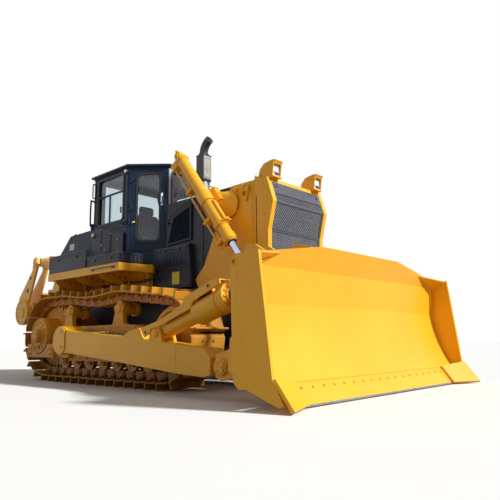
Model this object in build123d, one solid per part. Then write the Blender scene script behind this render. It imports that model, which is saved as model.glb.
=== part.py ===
from build123d import *
import math
import os

# Crawler dozer with a straight tilting blade and a rear ripper. Sizes are millimetres.
# While modelling, X runs forward from the sprockets' axle, Y to the left, Z up from the ground.
# Where a piece has a twin, the left one is modelled and the right one is its mirror image.

# Running gear
track_y = 1070
shoe_width = 560
shoe_count = 41
plate_thick = 20
grouser_height = 80
grouser_thick = 26
shoe_gap = 14
pin_to_plate = 95
rail_depth = 45
rail_inner = 60
rail_outer = 115
ground_rise = 8
ground_start = 250
sprocket_pin_r = 537
idler_pin_r = 467
idler_x = 3150
bottom_pin_z = grouser_height + pin_to_plate
idler_z = bottom_pin_z + idler_pin_r
sprocket_z = bottom_pin_z + ground_rise + sprocket_pin_r
carrier_x = (680, 2050)
carrier_pin_z = (1254, 1243)
sag = 62
sprocket_teeth = 29
wheel_gap = 0.4
run_gap = 0.3

# Track frames
frame_inner = track_y - 200
frame_outer = track_y + 200
frame_bottom = 470
frame_top = 850
frame_rear = 600
frame_front = 2640
frame_guard = 18
roller_x = [520 + 360 * i for i in range(7)]
roller_r = 104
hub_r = 290
hub_outer = track_y + 330
hub_boss = hub_outer + 80

# Push arms and their linkage
arm_y = track_y + 490
arm_half = 140
trunnion = (1250, 640)
trunnion_r = 90
bush_r = 120
arm_cap_r = 205
ball = (4570, 348)
ball_r = 105
eye_half = 60
ball_bore_r = 70.5
ball_pin_r = 40
ball_drift = 8.5
strut_foot = (3420, 710)
strut_head = (4920, 1180)
strut_eye_r = 75
foot_bore_r = 50
foot_pin_r = 38
tilt_rod_r = 55
tilt_barrel_r = 140
tilt_tube_r = 92

# Lift cylinders
lift_y = 850
yoke = (3400, 2500)
lift_eye = (4719, 739)
lift_r = 82
lift_bore = 62
lift_rod_r = 45
lift_tail = 845
lift_foot = 810
yoke_pin_r = 55

# Blade
blade_half = 2065
blade_skin = 40
end_plate = 36
lip_z = 1610
lip_x = 5284
crease = (5190, 1340)
belly = (5170, 960)
edge_top = (5426, 224)
edge_tip = (5586, 17)
flat_half = 850
corner_z = 1435
edge_half = blade_half - 447
seam_y = 560
ground_gap = 10
corner_tip = (5766, blade_half, 10)
lift_hole_r = 30

# Hull and body
hull_half = 450
hull_rear = -600
mount_x = hull_rear - run_gap
mount_front = -626
hull_front = 4200
hull_bottom = 540
nose_half = 590
nose_skin = 30
grille_half = 517
grille_high = 2630
grille_low = 1420
grille_thick = 22
grille_set = 8
hood_half = 572
hood_skin = 22
hood_top = 2680
deck_z = 1720
deck_thick = 30
fender_outer = track_y + 280
fender_inner = 600
cover_outer = hood_half + 88
cover_rear = 2050
rail_in = hull_half - 90
rail_top = 1180
belly_top = 900
cab_floor = deck_z
cab_top = 3360
cab_wall = 60
door_gap = 6
glass_thick = 8
glass_fit = 0.3

# Ripper
ripper_y = 680
clevis_in = 60
clevis_out = 100
mast_in = 80
mast_out = 122
arm_pin = (-1130, 1060)
beam_pin = (-1930, 1200)
pitch_front = (-720, 2020)
ripper_pin_r = 60
ripper_eye_r = 125
ripper_half = 50
pitch_pin_r = 45
pitch_bush_r = 58
ram_pin_r = 36
beam_tube_r = 200
beam_disc_r = 250
ram_rear = (-1500, 1270)
ram_front = (-800, 1800)
ram_y = 420
shank_half = 50
pocket_rear = -2560

# The frame that the finished pieces are stored in has its origin under the middle of the whole machine
origin_x = (corner_tip[0] + pocket_rear) / 2

parts = {}


def block(x0, x1, y0, y1, z0, z1):
    """A block between two corners."""
    return Pos((x0 + x1) / 2, (y0 + y1) / 2, (z0 + z1) / 2) * Box(x1 - x0, y1 - y0, z1 - z0)


def slab_y(outline, y0, y1):
    """A plate cut to a side-view outline of (x, z) points, from y0 to y1."""
    edge = Polyline(*[(x, y0, z) for x, z in outline], close=True)
    return extrude(make_face(edge), amount=y1 - y0, dir=(0, 1, 0))


def slab_z(outline, z0, z1):
    """A plate cut to a plan outline of (x, y) points, from z0 to z1."""
    edge = Polyline(*[(x, y, z0) for x, y in outline], close=True)
    return extrude(make_face(edge), amount=z1 - z0, dir=(0, 0, 1))


def slab_x(outline, x0, x1):
    """A plate cut to a front-view outline of (y, z) points, from x0 to x1."""
    edge = Polyline(*[(x0, y, z) for y, z in outline], close=True)
    return extrude(make_face(edge), amount=x1 - x0, dir=(1, 0, 0))


def round_y(centre, r, y0, y1):
    """A round piece lying across the machine, centred on (x, z)."""
    return Pos(centre[0], (y0 + y1) / 2, centre[1]) * Rot(90, 0, 0) * Cylinder(r, y1 - y0)


def along(start, end, y):
    """A plane at a side-view point whose normal runs to a second one, with its x to the left."""
    run = (end[0] - start[0], 0, end[1] - start[1])
    return Plane(origin=(start[0], y, start[1]), x_dir=(0, 1, 0), z_dir=run)


def drum(plane, s0, s1, r, side=0, front=0):
    """A round piece on a plane's normal from s0 to s1."""
    return plane * Pos(side, front, (s0 + s1) / 2) * Cylinder(r, s1 - s0)


def bar(plane, s0, s1, width, depth, side=0, front=0):
    """A square bar on a plane's normal from s0 to s1."""
    return plane * Pos(side, front, (s0 + s1) / 2) * Box(width, depth, s1 - s0)


def span(start, end):
    """The distance between two side-view points."""
    return math.hypot(end[0] - start[0], end[1] - start[1])


def rod_between(start, end, r):
    """A straight round bar between two points in space."""
    run = Vector(end) - Vector(start)
    return Plane(origin=start, z_dir=run) * Pos(0, 0, run.length / 2) * Cylinder(r, run.length)


def twin(shape):
    """The same piece on the right side."""
    return mirror(shape, about=Plane.XZ)


def keep_two(name, left):
    """Keep a left piece and its right twin as two nodes."""
    parts[name + "_left"] = left
    parts[name + "_right"] = twin(left)


def keep_pair(name, left):
    """Keep a left piece and its right twin as one node."""
    parts[name] = left + twin(left)


# The loop that the track's pins lie on, as points a few millimetres apart
def arc_points(centre, r, start_deg, end_deg, steps=60):
    turns = [math.radians(start_deg + (end_deg - start_deg) * i / steps) for i in range(steps)]
    return [(centre[0] + r * math.cos(a), centre[1] + r * math.sin(a)) for a in turns]


def line_points(start, end, droop=0, steps=60):
    shares = [i / steps for i in range(steps)]
    return [(start[0] + (end[0] - start[0]) * t,
             start[1] + (end[1] - start[1]) * t - 4 * droop * t * (1 - t)) for t in shares]


def track_pins():
    sprocket = (0, sprocket_z)
    idler = (idler_x, idler_z)
    rear_post = (carrier_x[0], carrier_pin_z[0])
    front_post = (carrier_x[1], carrier_pin_z[1])
    idler_leave = 84
    sprocket_meet = 91
    idler_top = arc_points(idler, idler_pin_r, idler_leave, idler_leave + 1, 1)[0]
    sprocket_top = arc_points(sprocket, sprocket_pin_r, sprocket_meet, sprocket_meet + 1, 1)[0]
    loop = line_points((0, sprocket_z - sprocket_pin_r), (ground_start, bottom_pin_z), 0, 10)
    loop += line_points((ground_start, bottom_pin_z), (idler_x, bottom_pin_z))
    loop += arc_points(idler, idler_pin_r, -90, idler_leave)
    loop += line_points(idler_top, front_post)
    loop += line_points(front_post, rear_post, sag)
    loop += line_points(rear_post, sprocket_top)
    loop += arc_points(sprocket, sprocket_pin_r, sprocket_meet, 270)
    reach = [0]
    for i, here in enumerate(loop):
        reach.append(reach[-1] + span(here, loop[(i + 1) % len(loop)]))
    pins = []
    i = 0
    for k in range(shoe_count):
        want = reach[-1] * k / shoe_count
        while reach[i + 1] < want:
            i += 1
        share = (want - reach[i]) / (reach[i + 1] - reach[i])
        a = loop[i]
        b = loop[(i + 1) % len(loop)]
        pins.append((a[0] + (b[0] - a[0]) * share, a[1] + (b[1] - a[1]) * share))
    return pins


def track_outline(pins, stations):
    """Walk round the loop; a station is a place on one link as (share or mm along, mm outward)."""
    outline = []
    for k, here in enumerate(pins):
        ahead = pins[(k + 1) % len(pins)]
        pitch = span(here, ahead)
        t = ((ahead[0] - here[0]) / pitch, (ahead[1] - here[1]) / pitch)
        n = (t[1], -t[0])
        for a, b in stations:
            if a < 0:
                a += pitch
            outline.append((here[0] + t[0] * a + n[0] * b, here[1] + t[1] * a + n[1] * b))
    return outline


def ring_y(outer, inner, y0, y1):
    """A closed loop between two side-view outlines."""
    rim = Polyline(*[(x, y0, z) for x, z in outer], close=True)
    hole = Polyline(*[(x, y0, z) for x, z in inner], close=True)
    face = Face(Wire(rim.edges()), [Wire(hole.edges())])
    return extrude(face, amount=y1 - y0, dir=(0, 1, 0))


def track():
    pins = track_pins()
    plate = pin_to_plate
    under = pin_to_plate - plate_thick
    tip = pin_to_plate + grouser_height
    bar_end = shoe_gap + grouser_thick
    outer = track_outline(pins, [(shoe_gap, plate), (shoe_gap, tip), (bar_end, tip),
                                 (bar_end, plate), (-shoe_gap, plate)])
    inner = track_outline(pins, [(shoe_gap, under), (-shoe_gap, under)])
    half = shoe_width / 2
    loop = ring_y(outer, inner, track_y - half, track_y + half)
    rail_top = track_outline(pins, [(shoe_gap, under + 5), (-shoe_gap, under + 5)])
    rail_end = 40
    rail_low = track_outline(pins, [(rail_end, -rail_depth), (-rail_end, -rail_depth)])
    for y0, y1 in ((rail_inner, rail_outer), (-rail_outer, -rail_inner)):
        loop += ring_y(rail_top, rail_low, track_y + y0, track_y + y1)
    return loop


def tread_radius(pin_r):
    """The wheel under the rails: the middle of a link is nearer to the axle than its pins."""
    pins = track_pins()
    half_pitch = span(pins[0], pins[1]) / 2
    return math.sqrt(pin_r ** 2 - half_pitch ** 2) - rail_depth - wheel_gap


def sprocket():
    root = sprocket_pin_r - 62
    tip = sprocket_pin_r + 18
    outline = []
    for k in range(sprocket_teeth):
        for share, r in ((0.0, root), (0.34, root), (0.5, tip), (0.68, tip), (0.84, root)):
            a = 2 * math.pi * (k + share) / sprocket_teeth
            outline.append((r * math.cos(a), sprocket_z + r * math.sin(a)))
    half = rail_inner - 8
    disc = slab_y(outline, track_y - half, track_y + half)
    dish = round_y((0, sprocket_z), 400, track_y - half - 12, track_y + half + 12)
    bore = round_y((0, sprocket_z), hub_r + run_gap, track_y - 100, track_y + 100)
    return disc + dish - bore


def final_drive():
    axle = (0, sprocket_z)
    case = round_y(axle, 330, hull_half, track_y - 290)
    neck = round_y(axle, hub_r, track_y - 300, hub_outer - 30)
    cover = round_y(axle, hub_r - 14, hub_outer - 40, hub_outer)
    boss = round_y(axle, 110, hub_outer - 10, hub_boss)
    hub = case + neck + cover + boss
    bolt_ring = 210
    for k in range(12):
        a = 2 * math.pi * k / 12
        spot = (bolt_ring * math.cos(a), sprocket_z + bolt_ring * math.sin(a))
        hub += round_y(spot, 17, hub_outer - 10, hub_outer + 16)
    return hub


def idler():
    axle = (idler_x, idler_z)
    tread = tread_radius(idler_pin_r)
    wheel = round_y(axle, tread, track_y - rail_outer, track_y + rail_outer)
    wheel += round_y(axle, tread + 38, track_y - rail_inner + 8, track_y + rail_inner - 8)
    for side in (-1, 1):
        y = track_y + side * rail_outer
        wheel -= round_y(axle, tread - 50, min(y, y - side * 45), max(y, y - side * 45))
    wheel += round_y(axle, 120, track_y - 128, track_y + 128)
    return wheel + round_y(axle, 62, track_y - 140, track_y + 140)


def track_rollers():
    z = bottom_pin_z + rail_depth + wheel_gap + roller_r
    rollers = Part()
    for x in roller_x:
        one = round_y((x, z), 84, track_y - 130, track_y + 130)
        for side in (-1, 1):
            low, high = sorted((track_y + side * rail_inner, track_y + side * rail_outer))
            one += round_y((x, z), roller_r, low, high)
            low, high = sorted((track_y + side * (rail_outer + 4), track_y + side * 140))
            one += round_y((x, z), roller_r + 18, low, high)
            low, high = sorted((track_y + side * 140, track_y + side * 182))
            one += block(x - 78, x + 78, low, high, z - 50, frame_bottom)
        rollers += one
    return rollers


def carrier_rollers():
    pins = track_pins()
    rollers = Part()
    for x, pin_z in zip(carrier_x, carrier_pin_z):
        low = min(z for px, z in pins if abs(px - x) < 240 and z > 1000)
        z = low - rail_depth - 3 - roller_r
        one = round_y((x, z), 70, track_y - 126, track_y + 130)
        for side in (-1, 1):
            y0, y1 = sorted((track_y + side * rail_inner, track_y + side * rail_outer))
            one += round_y((x, z), roller_r, y0, y1)
        one += round_y((x, z), 92, track_y + 126, track_y + 196)
        foot = [(x - 150, frame_top), (x + 120, frame_top), (x + 82, z), (x - 82, z)]
        one += slab_y(foot, track_y + 128, track_y + 194)
        rollers += one
    return rollers


def track_frame():
    mid = (frame_inner + frame_outer) / 2
    side_view = [(frame_rear, frame_bottom), (frame_front, frame_bottom), (frame_front + 40, 560),
                 (frame_front, frame_top - 40), (frame_front - 400, frame_top),
                 (frame_rear, frame_top)]
    body = slab_y(side_view, frame_inner, frame_outer)
    # Fork that carries the idler's axle
    for y0, y1 in ((track_y - 200, track_y - 140), (track_y + 140, track_y + 200)):
        fork = [(frame_front - 20, 540), (idler_x + 130, idler_z - 90),
                (idler_x + 130, idler_z + 90), (frame_front - 20, idler_z + 150)]
        body += slab_y(fork, y0, y1)
    # Rear foot under the outer end of the final drive
    foot_inner = frame_outer - frame_guard
    body += block(-390, frame_rear - 110, foot_inner, hub_outer, 375, 589)
    body += block(frame_rear - 170, frame_rear + 250, foot_inner, hub_outer - 60, 375, 640)
    body -= round_y((0, sprocket_z), hub_r + run_gap, mid, hub_boss)
    # Guards that hang outside the rollers, and the trunnion of the push arm
    body += block(roller_x[0] + 220, roller_x[-1] - 220, foot_inner, frame_outer,
                  330, frame_bottom)
    body += round_y(trunnion, trunnion_r + 70, frame_outer - 10, fender_outer + 40)
    body += round_y(trunnion, trunnion_r, frame_outer - 10, arm_y + 120)
    return body


# Hull: steering case at the rear, rails and belly guard to the front
def hull():
    rear = [(hull_rear, 700), (hull_rear + 120, hull_bottom), (950, hull_bottom), (950, 1450),
            (hull_rear, 1450)]
    body = slab_y(rear, -hull_half, hull_half)
    guard = [(900, hull_bottom), (hull_front - 350, hull_bottom), (hull_front, 700),
             (hull_front, belly_top), (900, belly_top)]
    body += slab_y(guard, -hull_half, hull_half)
    for side in (-1, 1):
        y0, y1 = sorted((side * rail_in, side * hull_half))
        body += block(940, hull_front - 80, y0, y1, 890, rail_top)
    body += block(hull_front - 170, hull_front - 80, -hull_half, hull_half, 890, rail_top)
    body += block(2350, 2500, -frame_inner, frame_inner, 590, 760)
    body += block(700, 860, -frame_inner, frame_inner, 590, 760)
    return body


def engine():
    body = block(2300, 3760, -300, 300, belly_top + run_gap, 2250)
    body += block(2420, 3640, -230, 230, 2240, 2420)
    return body


def radiator():
    return block(4040, 4170, -480, 480, rail_top + run_gap, 2580)


# Side outline of the nose and of the dark hood behind it; they share one slanted joint
nose_front = [(4267, 2682), (4369, 2359), (4280, 2002), (4262, 1180)]
nose_rear = [(3000, 1180), (3000, 1310), (2910, 1460), (3100, 1655), (3260, 1990), (3640, 2680)]


def inset(outline, front, rear, top, bottom):
    """The outline moved inward by the walls, straight along X at its ends and along Z above."""
    rows = []
    low = min(z for x, z in outline)
    high = max(z for x, z in outline)
    middle = sum(x for x, z in outline) / len(outline)
    for x, z in outline:
        x += -front if x > middle else rear
        z += bottom if z == low else -top if z > high - 5 else 0
        rows.append((x, z))
    return rows


def nose():
    outer = nose_rear + nose_front
    shell = slab_y(outer, -nose_half, nose_half)
    hollow = inset(outer, nose_skin, -200, nose_skin, -50)
    shell -= slab_y(hollow, -nose_half + nose_skin, nose_half - nose_skin)
    shell -= block(4100, 4500, -grille_half - glass_fit, grille_half + glass_fit,
                   grille_low - glass_fit, grille_high + glass_fit)
    for side in (-1, 1):
        y0, y1 = sorted((side * (hull_half - 20), side * (nose_half - 5)))
        shell += block(3050, 4030, y0, y1, rail_top + run_gap, rail_top + 35)
        shell += slab_y([(3880, 2580), (3960, 2600), (3960, 2650), (3880, 2650)],
                        min(side * nose_half, side * (nose_half + 16)),
                        max(side * nose_half, side * (nose_half + 16)))
    return shell


def grille():
    front = []
    for x, z in ((4291, grille_high), (4369, 2359), (4280, 2002), (4267, grille_low)):
        front.append((x - grille_set, z))
    back = [(x - grille_thick, z) for x, z in reversed(front)]
    panel = slab_y(front + back, -grille_half, grille_half)
    # Slots of the strip under the bare name band, and the bars between the two meshes
    for k in range(3):
        panel -= block(4200, 4420, -grille_half + 40, grille_half - 40,
                       2400 + 26 * k, 2412 + 26 * k)
    return panel


def hood():
    joint_gap = 3
    outline = [(x - joint_gap, z) for x, z in nose_rear[1:]]
    outline[-1] = (outline[-1][0], hood_top)
    rear_x = 2240
    outer = outline + [(rear_x, hood_top), (rear_x, outline[0][1])]
    shell = slab_y(outer, -hood_half, hood_half)
    inner = [(x + 60 if x > rear_x else x - 40, min(z, hood_top - hood_skin)) for x, z in outer]
    inner = [(x, z - 40 if z == outline[0][1] else z) for x, z in inner]
    shell -= slab_y(inner, -hood_half + hood_skin, hood_half - hood_skin)
    # Ledge that carries the hood on the frame's rails
    for side in (-1, 1):
        y0, y1 = sorted((side * (hull_half - 60), side * (hood_half - 5)))
        shell += block(rear_x, 2980, y0, y1, outline[0][1] - 130, outline[0][1] + 10)
    return shell


def side_cover():
    cover = [(cover_rear, 1365), (2890, 1365), (2890, 1560), (2840, 1990), (cover_rear, 1990)]
    body = slab_y(cover, hood_half, cover_outer)
    return body - slab_y([(cover_rear + 30, 1395), (2860, 1395), (2812, 1960),
                          (cover_rear + 30, 1960)], hood_half, cover_outer - 20)


# Lamps on the nose: a sloped hood over a square lamp
lamp_y = 450
lamp_top = hood_top + 185


def lamp_guards():
    guards = Part()
    side_view = [(4060, hood_top + 2), (4105, lamp_top - 45), (4170, lamp_top + 20),
                 (4300, lamp_top + 45), (4365, lamp_top + 40), (4340, lamp_top + 7),
                 (4318, hood_top + 24), (4345, hood_top + 2)]
    for y in (-lamp_y, lamp_y):
        one = slab_y(side_view, y - 85, y + 85)
        one -= block(4170, 4500, y - 72, y + 72, hood_top + 32, lamp_top)
        one += block(4050, 4110, y - 30, y + 30, hood_top + 2, hood_top + 50)
        guards += one
    return guards


def headlamps():
    lamps = Part()
    for y in (-lamp_y, lamp_y):
        lamps += block(4170.3, 4300, y - 71.7, y + 71.7, hood_top + 32.3, lamp_top - 1)
    return lamps


exhaust_at = (2650, -200)


def exhaust():
    x, y = exhaust_at
    stack = Pos(x, y, 2760) * Cylinder(80, 160)
    stack += Pos(x, y, 2930) * Cylinder(100, 60)
    stack += Pos(x, y, 2875) * Cylinder(70, 200)
    stack += Pos(x, y, 2995) * Cylinder(65, 90)
    stack += Pos(x, y, 3240) * Box(170, 170, 420)
    pipe_r = 66
    bend = 230
    start = (x, y, 3440)
    corner = (x, y, 3470)
    end_turn = 65
    reach = math.radians(end_turn)
    turn_end = (x + bend * (1 - math.cos(reach)), y, corner[2] + bend * math.sin(reach))
    mid = (x + bend * (1 - math.cos(reach / 2)), y, corner[2] + bend * math.sin(reach / 2))
    path = Line(start, corner) + ThreePointArc(corner, mid, turn_end)
    pipe = sweep(Plane(origin=start, z_dir=(0, 0, 1)) * Circle(pipe_r), path=path)
    bore_from = (x, y, 3460)
    bore_path = Line(bore_from, corner) + ThreePointArc(corner, mid, turn_end)
    bore = sweep(Plane(origin=bore_from, z_dir=(0, 0, 1)) * Circle(pipe_r - 6), path=bore_path)
    return stack + (pipe - bore)


# Fenders, deck and the boxes on them
def fender():
    inner = fender_inner
    clear = cover_outer + run_gap
    plan = [(100, inner), (100, fender_outer), (2150, fender_outer), (2230, 820),
            (cover_rear + 30, clear), (cover_rear - 1, clear), (cover_rear - 1, inner)]
    top = slab_z(plan, deck_z - deck_thick, deck_z)
    skirt = slab_z(plan, deck_z - 110, deck_z - deck_thick + 1)
    skirt -= slab_z([(130, inner - 40), (130, fender_outer - 30), (2122, fender_outer - 30),
                     (2195, 835), (2060, clear + 6), (2040, inner - 40)],
                    deck_z - 200, deck_z - deck_thick)
    web = block(300, 2032, clear, clear + 30, 1450, deck_z - deck_thick)
    web += block(2000, 2032, clear, clear + 95, 1430, deck_z - deck_thick)
    # Gussets across the underside, deepest at the web
    for x in (160, 850, 1490):
        rib = [(clear + 10, deck_z - deck_thick), (clear + 10, 1480), (clear + 90, 1480)]
        rib += [(clear + 90 + 500 * math.sin(a), 1610 - 130 * math.cos(a))
                for a in (0.3, 0.6, 0.9, 1.2, 1.5)]
        rib += [(fender_outer - 40, deck_z - deck_thick)]
        web += slab_x(rib, x, x + 14)
    post = block(300, 420, hull_half, clear + 20, 1300, deck_z - 150)
    return top + skirt + web + post


def deck():
    half = fender_inner - run_gap
    plate = block(200, cover_rear - 1, -half, half, deck_z - deck_thick, deck_z)
    plate += block(cover_rear - 2, 2235, 1 - hood_half, hood_half - 1, deck_z - deck_thick, deck_z)
    pillar = block(1000, 2235, -rail_in + 1, rail_in - 1, 905, deck_z - deck_thick)
    rear = block(200, 940, -hull_half + 20, hull_half - 20, 1450, deck_z - deck_thick)
    return plate + pillar + rear


side_box_rows = [
    # rear x, front x, inner y, outer y, low z, top z
    (110, 1260, 870, fender_outer - 5, deck_z, deck_z + 280),
    (1290, 2140, 930, fender_outer - 5, deck_z, deck_z + 152),
]


def side_boxes():
    boxes = Part()
    for x0, x1, y0, y1, low, top in side_box_rows:
        boxes += block(x0, x1, y0, y1, low, top)
    # A shallow cabinet with a sloping top stands against the cab
    cabinet = [(940, deck_z), (940, 2440), (1530, 2305), (1530, deck_z)]
    return boxes + slab_y(cabinet, 856, 905)


def fuel_tank():
    half = 800
    outline = [(-600, deck_z + 2), (-600, 2150), (-220, 2480), (560, 2500), (400, 1990),
               (400, deck_z + 2)]
    tank = slab_y(outline, -half, half)
    foot = block(-590, 190, -hull_half, hull_half, 1450, deck_z + 3)
    cap = Pos(-60, -500, 2500) * Cylinder(70, 60)
    return tank + foot + cap


# Cab: a six-sided plan with a door in each slanted front side
cab_plan = [(600, -840), (1600, -850), (2070, -420), (2070, 420), (1600, 850), (600, 840)]


def face_plane(index, z):
    """A plane on one cab wall: x along the wall, y up, normal outward, origin at its first corner."""
    a = cab_plan[index]
    b = cab_plan[(index + 1) % len(cab_plan)]
    run = (b[0] - a[0], b[1] - a[1], 0)
    return Plane(origin=(a[0], a[1], z), x_dir=run, z_dir=(run[1], -run[0], 0))


def wall_length(index):
    a = cab_plan[index]
    b = cab_plan[(index + 1) % len(cab_plan)]
    return math.hypot(b[0] - a[0], b[1] - a[1])


def pane(index, t0, t1, z0, z1, depth0, depth1, corner):
    """A rounded rectangle on a cab wall, between two depths inward of its outer face."""
    plane = face_plane(index, 0)
    centre = plane.from_local_coords(Vector((t0 + t1) / 2, (z0 + z1) / 2, -depth1))
    place = Plane(origin=centre, x_dir=plane.x_dir, z_dir=plane.z_dir)
    return extrude(place * RectangleRounded(t1 - t0, z1 - z0, corner), amount=depth1 - depth0)


side_len = wall_length(0)
slant_len = wall_length(1)
front_len = wall_length(2)
rear_len = wall_length(5)
door_span = (42, slant_len - 42)
door_rise = (1990, 3310)
window_rows = [
    # wall, start, end, low z, high z
    (0, 130, side_len - 130, 2520, 3290),
    (2, 60, front_len - 60, 2740, 3290),
    (4, 130, side_len - 130, 2520, 3290),
    (5, 180, rear_len - 180, 2560, 3290),
]
window_corner = 60
pane_depth = 22


def cab_shell():
    outer = slab_z(cab_plan, cab_floor, cab_top)
    face = make_face(Polyline(*[(x, y, cab_floor + 20) for x, y in cab_plan], close=True))
    inner = extrude(offset(face, amount=-cab_wall, kind=Kind.INTERSECTION),
                    amount=cab_top - cab_floor, dir=(0, 0, 1))
    shell = outer - inner
    for wall, t0, t1, z0, z1 in window_rows:
        shell -= pane(wall, t0, t1, z0, z1, -20, cab_wall + 30, window_corner)
    for wall in (1, 3):
        shell -= pane(wall, door_span[0], door_span[1], door_rise[0], door_rise[1],
                      -20, cab_wall + 30, 30)
        shell += cab_hinges(wall)
    return shell


def cab_glass():
    glass = Part()
    for wall, t0, t1, z0, z1 in window_rows:
        glass += pane(wall, t0 + glass_fit, t1 - glass_fit, z0 + glass_fit, z1 - glass_fit,
                      pane_depth, pane_depth + glass_thick, window_corner - glass_fit)
    return glass


def cab_roof():
    face = make_face(Polyline(*[(x, y, cab_top) for x, y in cab_plan], close=True))
    brim = offset(face, amount=45, kind=Kind.INTERSECTION)
    roof = extrude(brim, amount=34, dir=(0, 0, 1))
    crown = offset(face, amount=-60, kind=Kind.INTERSECTION)
    return roof + extrude(crown, amount=62, dir=(0, 0, 1))


# A door fills its opening with a gap all round; its window is cut and glazed
door_wall = 46
hinge_in = 44
hinge_out = 16
hinge_r = 12
hinge_pin_r = 6
hinge_z = (3155, 2700)
door_window = (95, 100, 170, 70)


def hinge_rod(wall, z0, z1, r):
    """A round upright on a door's hinge axis."""
    t = hinge_in if wall == 1 else slant_len - hinge_in
    foot = face_plane(wall, 0).from_local_coords(Vector(t, 0, hinge_out))
    return Pos(foot.X, foot.Y, (z0 + z1) / 2) * Cylinder(r, z1 - z0)


def hinge_leaf(wall, t0, t1, z0, z1, depth):
    """A flat leaf from the hinge axis to a wall, at distances from the wall's rear corner."""
    if wall == 3:
        t0, t1 = slant_len - t1, slant_len - t0
    return pane(wall, t0, t1, z0, z1, -hinge_out - 4, depth, 3)


def cab_hinges(wall):
    knuckles = Part()
    for z in hinge_z:
        for z0, z1 in ((z - 64, z - 31), (z + 31, z + 64)):
            knuckles += hinge_rod(wall, z0, z1, hinge_r)
            knuckles += hinge_leaf(wall, 10, hinge_in, z0, z1, 2)
        knuckles += hinge_rod(wall, z - 50, z + 50, hinge_pin_r)
    return knuckles


def door_hinges(wall):
    knuckles = Part()
    for z in hinge_z:
        knuckles += hinge_rod(wall, z - 30, z + 30, hinge_r)
        knuckles += hinge_leaf(wall, hinge_in, 90, z - 30, z + 30, 2)
        knuckles -= hinge_rod(wall, z - 40, z + 40, hinge_pin_r + run_gap)
    return knuckles


def door_pane(wall, depth0, depth1, trim, corner):
    left, right, low, high = door_window
    if wall == 1:
        left, right = right, left
    return pane(wall, door_span[0] + left + trim, door_span[1] - right - trim,
                door_rise[0] + low + trim, door_rise[1] - high - trim, depth0, depth1, corner)


def door(wall):
    panel = pane(wall, door_span[0] + door_gap, door_span[1] - door_gap,
                 door_rise[0] + door_gap, door_rise[1] - door_gap, 0, door_wall, 26)
    panel -= door_pane(wall, -20, door_wall + 30, 0, 80)
    panel += door_hinges(wall)
    plane = face_plane(wall, 0)
    t = door_span[1] - 60 if wall == 1 else door_span[0] + 60
    for z in (2760, 2900):
        centre = plane.from_local_coords(Vector(t, z, 18))
        panel += Plane(origin=centre, z_dir=plane.z_dir) * Cylinder(9, 40)
    centre = plane.from_local_coords(Vector(t, 2830, 40))
    return panel + Plane(origin=centre, z_dir=(0, 0, 1)) * Cylinder(11, 170)


def door_glass(wall):
    return door_pane(wall, pane_depth, pane_depth + glass_thick, glass_fit, 80 - glass_fit)


def seat():
    chair = block(1020, 1380, -190, 190, cab_floor + 20, 2080)
    chair += block(950, 1470, -260, 260, 2080, 2210)
    back = [(960, 2180), (1080, 2180), (1000, 2790), (890, 2790)]
    chair += slab_y(back, -250, 250)
    chair += slab_y([(895, 2790), (985, 2790), (968, 2960), (888, 2960)], -150, 150)
    for side in (-1, 1):
        y0, y1 = sorted((side * 265, side * 345))
        chair += block(980, 1400, y0, y1, 2300, 2380)
        chair += block(1000, 1080, y0 + 10, y1 - 10, 2100, 2310)
        y0, y1 = sorted((side * 240, side * 335))
        chair += block(1000, 1080, y0, y1, 2100, 2180)
    return chair


def controls():
    dash = [(1860, cab_floor + 20), (1990, cab_floor + 20), (1990, 2600), (1900, 2660), (1800, 2560)]
    body = slab_y(dash, -330, 330)
    for side in (-1, 1):
        y0, y1 = sorted((side * 380, side * 520))
        body += block(1050, 1560, y0, y1, cab_floor + 20, 2330)
        body += rod_between((1480, side * 450, 2320), (1530, side * 450, 2520), 12)
        body += Pos(1530, side * 450, 2530) * Sphere(30)
    return body


def grab_rails():
    rails = Part()
    for side in (-1, 1):
        y = side * 905
        rails += rod_between((640, y, 2560), (640, y, 2930), 14)
        for z in (2574, 2916):
            rails += rod_between((640, y, z), (640, side * 841, z), 12)
    return rails


# Castings on the nose that carry the lift cylinders' yokes
def lift_bracket():
    # A round foot on the nose, drawn out to the bearing that carries the yoke's pin
    foot = (3590, 2425)
    base = round_y(foot, 190, nose_half + 16, nose_half + 42)
    pad = slab_y([(3480, 2290), (3730, 2290), (3740, 2550), (3640, 2560)],
                 nose_half, nose_half + 20)
    rings = [Plane(origin=(x, y, z), x_dir=(1, 0, 0), z_dir=(0, 1, 0)) * Circle(r)
             for (x, z), r, y in ((foot, 178, nose_half + 38), (yoke, 120, 702))]
    boss = round_y(yoke, 128, nose_half + 17, 724)
    # Bolted bearing cap on the upper side
    reach = span(yoke, lift_eye)
    down = ((lift_eye[0] - yoke[0]) / reach, (lift_eye[1] - yoke[1]) / reach)
    cap = [(yoke[0] + a * down[0] - b * down[1], yoke[1] + a * down[1] + b * down[0])
           for a, b in ((-140, -20), (105, -20), (105, 135), (-140, 135))]
    body = base + pad + loft(rings) + boss + slab_y(cap, 640, 740)
    return body - round_y(yoke, yoke_pin_r + run_gap, 600, 760)


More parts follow.
